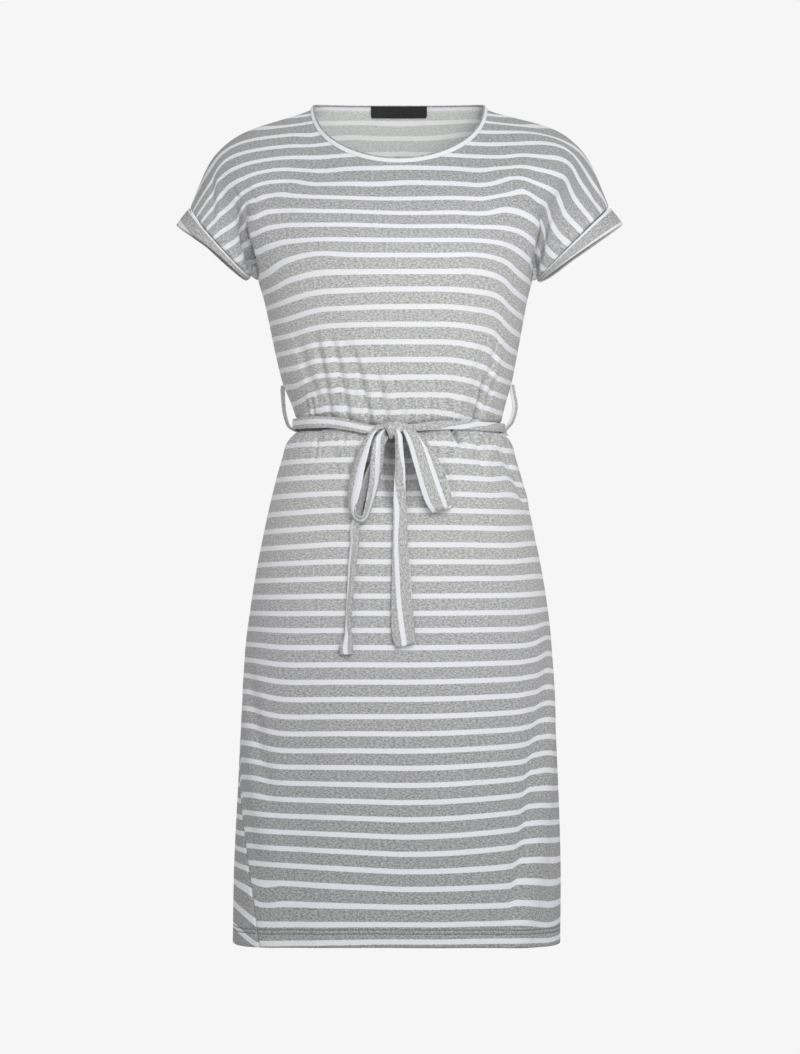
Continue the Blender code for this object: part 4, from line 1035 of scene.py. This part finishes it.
def neck_binding():
    """A folded band standing on the neck edges of both panels, leaning between their slope and upright."""
    at = np.linspace(0, CENTRE_COLUMN, 90)
    ring, ups = [], []
    for side, face in ((LEFT, FRONT), (RIGHT, FRONT), (RIGHT, BACK), (LEFT, BACK)):
        neck, mid = yoke_columns(side, face, at)[:2]
        up = unit(unit(neck - mid) + np.array([0, 0, 0.7]))
        order = slice(None) if (side == LEFT) == (face == FRONT) else slice(None, None, -1)
        ring.append(neck[order][:-1])
        ups.append(up[order][:-1])
    neck, up = np.concatenate(ring), np.concatenate(ups)
    way = tangents(neck, closed=True)
    out = facing(neck - neck.mean(axis=0), unit(np.cross(up, way)))
    centres = neck + up * (NECK_BAND / 2 + 0.4)
    shape = band(centres, up * (NECK_BAND / 2 + 0.6), out, BAND, 0.3, (-0.10, 0.27), True)
    return make_piece("neck_binding_band", *shape, BAND_CLOTH, "striped_band", "neck_binding")


def cuff(side, node):
    """A folded band round the sleeve's end. Its depth falls from the top of the arm to under it as a
    power of the cosine of half the turn."""
    seam_turns = np.linspace(0, 360, 144, endpoint=False)
    front = seam_turns <= 180
    half = np.where(front, seam_turns, 360 - seam_turns)
    seam = np.where(front[:, None], cuff_seam(side, FRONT, half), cuff_seam(side, BACK, half))
    under = (1 - np.cos(np.radians(half))) / 2
    deep = SLEEVES[side][4] + (CUFF_OVER - SLEEVES[side][4]) * (1 - under)**SLEEVES[side][5]
    run = unit(np.stack([side * (0.60 + 0.2 * under), 0 * under, -0.78 + 0.2 * under], axis=1))
    way = tangents(seam, closed=True)
    out = facing(seam - seam.mean(axis=0), unit(np.cross(run, way)))
    deep = deep - 3.0 * np.maximum(0, -np.sin(np.radians(seam_turns))) * between(deep, 5, 13)
    half_width = (deep + 1.2) / 2
    centres = seam + run * (0.9 + half_width)[:, None] - out * (BAND / 2)
    marks = np.array((0.0, 0.98)) + 0 * deep[:, None]
    if side == LEFT:
        marks = np.stack([0.06 + 0 * deep, (2 * half_width + 1.2) / PITCH], axis=1)
    shape = band(centres, run * half_width[:, None], out, BAND, 0.4, marks, True)
    return make_piece(node + "_band", *shape, BAND_CLOTH, "striped_band", node)


def belt_run(angle):
    """The belt at an angle round the body: its middle's height, its width and its stripe number."""
    return tuple(through(BELT[:, k], turned_back(angle), BELT[:, 0]) for k in (1, 2, 3))


BELT_OFF = 2.7          # how far the belt's middle lies outside the rings


def belt_round():
    """The belt round the waist, from one side of the knot round the back to the other."""
    angle = np.linspace(-4.2, 355.2, 361)
    z, wide, stripe = belt_run(angle)
    flats = []
    for share in np.linspace(-0.5, 0.5, 5):
        level = z + wide * share
        flats.append(np.where((level > WAIST_Z)[:, None],
                              ring_points(BODICE, np.maximum(level, WAIST_Z), angle, BELT_OFF),
                              ring_points(SKIRT, np.minimum(level, WAIST_Z), angle, BELT_OFF))[:, :2])
    flats = np.array(flats)
    widest = np.linalg.norm(flats, axis=2).argmax(axis=0)[None, :, None]
    centres = np.column_stack([np.take_along_axis(flats, widest, axis=0)[0], z])
    way = tangents(centres)
    up = np.array([0, 0, 1.0]) + 0 * way
    out = facing(centres * (1, 1, 0), unit(np.cross(way, up)))
    wave = np.sin(np.radians(angle * 7)) * 0.35 + np.sin(np.radians(angle * 13 + 40)) * 0.25
    spread = wide / 2 / PITCH / 0.9
    marks = np.stack([stripe - spread, stripe + spread], axis=1)
    shape = band(centres, up * wide[:, None] / 2, out, BAND, 0.5 + wave, marks)
    return make_piece("belt", *shape, BAND_CLOTH, "striped_band", "belt_round")


# Each belt loop's path: height, and how far it stands off the side seam.
BELT_LOOPS = {
    LEFT: ((-331, 0.4), (-337, 3.4), (-346, 6.8), (-360, 11.2), (-373, 12.0), (-381, 9.4), (-385.6, 2.4)),
    RIGHT: ((-330, 0.4), (-340, 5), (-351, 10.5), (-361, 13), (-375, 11.6), (-385, 5), (-391, 1.2)),
}
LOOP_HALF_WIDTH, LOOP_THICKNESS = 4.3, 1.4


def belt_loop(side, node):
    """A narrow strip by the side seam that stands off it and lets the belt through."""
    turn = np.linspace(0.6, 0.34, 60) if side == LEFT else np.full(60, 0.72)
    rows = []
    for height, off in BELT_LOOPS[side]:
        table = BODICE if height > WAIST_Z else SKIRT
        rows.append(ring_points(table, height, np.array(side * 90.0), off) + np.array([0, -4, 0]))
    centres = through(np.array(rows), np.linspace(0, len(rows) - 1, 60))
    way = tangents(centres)
    half = LOOP_HALF_WIDTH * np.stack([side * turn, (1 - turn**2)**0.5, 0 * turn], axis=1)
    out = unit(np.cross(way, half))
    marks = (0.16, 0.7) if side == LEFT else (-0.05, 0.5)
    shape = band(centres, half, out, LOOP_THICKNESS, 0.3, marks)
    return make_piece(node + "_strip", *shape, BAND_CLOTH, "striped_band", node)


def skirt_front_y(x, z):
    """The y of the skirt's front at a place seen from the front, from the rings' own equation."""
    z = np.minimum(z, WAIST_Z)
    across = np.abs(x) / down_table(SKIRT, 1, z)
    return -down_table(SKIRT, 2, z) * (1 - across**ROUNDNESS)**(1 / ROUNDNESS)


def strip(table, count):
    """A stretch of the belt's end, in count steps between the smooth paths of its two edges. Each
    stands off the skirt's front by its own distance."""
    rows = through(table, np.linspace(0, len(table) - 1, count))
    left, right = (np.column_stack([rows[:, k], skirt_front_y(rows[:, k], rows[:, k + 1]) - rows[:, k + 2],
                                    rows[:, k + 1]]) for k in (0, 3))
    centres, half = (left + right) / 2, (right - left) / 2
    out = unit(np.cross(tangents(centres), half))
    return band(centres, half, out, BAND, rows[:, 6], rows[:, 7:9], profile=BOW_OUTLINE)


def bow_strip(table, count, node):
    """One loop or tail of the bow."""
    return make_piece(node + "_band", *strip(table, count), BAND_CLOTH, "striped_band", node)


def knot():
    """The knot: short folded wraps of the belt over one another."""
    shapes = [strip(table, 40) for table in KNOT_WRAPS]
    starts = np.cumsum([0] + [len(points) for points, _, _ in shapes[:-1]])
    points, quads, fabric = (np.concatenate([shape[k] + (start if k == 1 else 0) for shape, start
                                             in zip(shapes, starts)]) for k in range(3))
    return make_piece("bow_knot_wraps", points, quads, fabric, BAND_CLOTH, "striped_band", "bow_knot")


LABEL_TOP, LABEL_FOOT = -6.3, 8.0       # from above the neck edge to below it
LABEL_HALF_WIDTH, LABEL_THICKNESS = 34, 0.6
LABEL_INWARDS = 3.2                     # how far it lies inside the cloth's face


def neck_label():
    """A plain woven label inside the back of the neck, a little narrower at its foot."""
    at = np.linspace(CENTRE_COLUMN - 4, CENTRE_COLUMN, 30)
    halves = list(zip(*(yoke_columns(side, BACK, at)[:2] for side in (LEFT, RIGHT))))
    neck, mid = (mirrored(half) for half in halves)
    fall = unit((mid - neck) * (0, 1, 1))
    inwards = unit(np.cross(fall, np.array([1.0, 0, 0])))
    inwards *= -np.sign(inwards[:, 1:2])
    down = np.concatenate([[LABEL_TOP], np.linspace(-5.6, 7.2, 14), [LABEL_FOOT]])
    grid = neck[None] + fall[None] * down[:, None, None] + inwards[None] * LABEL_INWARDS
    grid[..., 0] *= (1.03 - 0.04 * between(down, 5.5, LABEL_FOOT))[:, None]
    points, quads = grid.reshape(-1, 3), grid_quads(numbered(grid))
    if (point_normals(points, quads) * np.tile(inwards, (len(down), 1))).sum() < 0:
        quads = quads[:, ::-1]
    share, down = np.meshgrid(np.linspace(-1, 1, len(neck)), down)
    fabric = np.stack([share.ravel() * LABEL_HALF_WIDTH, down.ravel()], axis=1) / PITCH
    return make_panel("neck_label_woven", points, quads, fabric, LABEL_THICKNESS, LABEL_CLOTH,
                      "dark_label", "neck_label")


# ---------------------------------------------------------------- the dress

JERSEY = jersey("striped_marl_jersey")
BAND_CLOTH = jersey("striped_marl_band", gathered=False)
LABEL_CLOTH = woven_label("dark_satin_label")
THREAD = thread("grey_sewing_thread")

bodice_front, bodice_back = bodice(FRONT, "bodice_front"), bodice(BACK, "bodice_back")
skirt_front, front_hem = skirt(FRONT, "skirt_front")
skirt_back, back_hem = skirt(BACK, "skirt_back")
binding = neck_binding()
cuff_left, cuff_right = cuff(LEFT, "cuff_left"), cuff(RIGHT, "cuff_right")

# Each piece's flat size in metres, before it was sewn and put on.
for piece, flat_size in (
        (belt_round(), (0.70, 0.0165)),
        (belt_loop(LEFT, "belt_loop_left"), (0.066, 0.0105)),
        (belt_loop(RIGHT, "belt_loop_right"), (0.066, 0.0105)),
        (knot(), (0.060, 0.026)),
        (bow_strip(LOOP_LEFT, 120, "bow_loop_left"), (0.240, 0.026)),
        (bow_strip(LOOP_RIGHT, 110, "bow_loop_right"), (0.230, 0.026)),
        (bow_strip(TAIL_LEFT, 110, "bow_tail_left"), (0.256, 0.014)),
        (bow_strip(TAIL_RIGHT, 110, "bow_tail_right"), (0.256, 0.026)),
        (neck_label(), (0.072, 0.0145))):
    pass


# ---------------------------------------------------------------- floor, light and camera

PAPER = (0.9216, 0.9216, 0.9216, 1)     # the pale ground


def pale_floor(radius, height):
    """A plain floor disc under the dress that keeps its shadow and fades out at its edge."""
    turn, reach = np.meshgrid(np.linspace(0, math.tau, 96, endpoint=False), np.linspace(0.002, 1, 12) * radius)
    points = np.stack([reach * np.cos(turn), reach * np.sin(turn), height + 0 * turn], axis=-1)
    quads = grid_quads(closed_columns(numbered(points)))
    mesh = bpy.data.meshes.new("floor")
    mesh.from_pydata(points.reshape(-1, 3).tolist(), [], quads.tolist())
    nodes = Nodes(bpy.data.materials.new("pale_floor"))
    away = nodes.add("ShaderNodeVectorMath", {"operation": "LENGTH"}, {0: nodes.place()}, outlet=1)
    seen = nodes.add("ShaderNodeLightPath")
    glow = nodes.add("ShaderNodeEmission", inputs={"Color": PAPER, "Strength": 1.0})
    mesh.materials.append(nodes.surface(Base_Color=PAPER, Roughness=0.9))
    paint = Value(nodes, nodes.tree.nodes["Principled BSDF"].outputs[0])
    lit = nodes.add("ShaderNodeMixShader", inputs={0: seen * 0.7, 1: paint, 2: glow})
    clear = nodes.add("ShaderNodeBsdfTransparent")
    shown = nodes.add("ShaderNodeMixShader", inputs={0: nodes.ramp(away, radius * 0.98, radius * 0.5),
                                                     1: clear, 2: lit})
    nodes.fill("Material Output", {"Surface": shown})
    show("floor", mesh)


def studio_world(strength):
    """A uniform soft fill; cameras and reflections see the pale ground instead."""
    world = bpy.data.worlds.new("studio")
    bpy.context.scene.world = world
    nodes = Nodes(world)
    nodes.fill("Background", {"Color": (1.0, 1.0, 1.0, 1), "Strength": strength})
    camera_ray = nodes.add("ShaderNodeLightPath")
    seen = camera_ray.maths("MAXIMUM", camera_ray, camera_ray.outlet("Is Glossy Ray"))
    choose = nodes.add("ShaderNodeMixShader", inputs={
        0: seen, 1: Value(nodes, nodes.tree.nodes["Background"].outputs[0]),
        2: nodes.add("ShaderNodeBackground", inputs={"Color": PAPER})})
    nodes.fill("World Output", {"Surface": choose})


def soft_box(name, place, aim, size, power):
    """A square soft light at a place, facing an aim point."""
    lamp = bpy.data.lights.new(name, "AREA")
    lamp.shape, lamp.size, lamp.energy = "SQUARE", size, power
    holder = show(name, lamp)
    holder.location = place
    way = np.array(aim) - np.array(place)
    flat = math.hypot(way[0], way[1])
    holder.rotation_euler = (math.atan2(flat, -way[2]), 0, math.atan2(way[1], way[0]) - math.pi / 2)


def studio_camera(place, half_height, shift):
    """A level camera straight in front, which sees twice half_height at the dress."""
    camera = bpy.data.cameras.new("camera")
    camera.sensor_fit, camera.sensor_height = "VERTICAL", 24
    camera.lens = camera.sensor_height / (2 * half_height / -place[1])
    camera.shift_y = shift
    holder = show("camera", camera)
    holder.location, holder.rotation_euler = place, (math.pi / 2, 0, 0)
    bpy.context.scene.camera = holder


pale_floor(radius=0.9, height=-1.32)
studio_world(strength=0.545)
soft_box("front_light", (0.32, -1.48, 0.04), (0.0, 0.0, -0.38), 0.9, 14.6)
soft_box("back_light", (-0.8, 2.0, 0.1), (0.0, 0.0, -0.4), 1.2, 12)
studio_camera((0.0012, -2.8, -0.588), half_height=0.6324, shift=73 / 1054)
bpy.context.scene.view_settings.view_transform = "Standard"
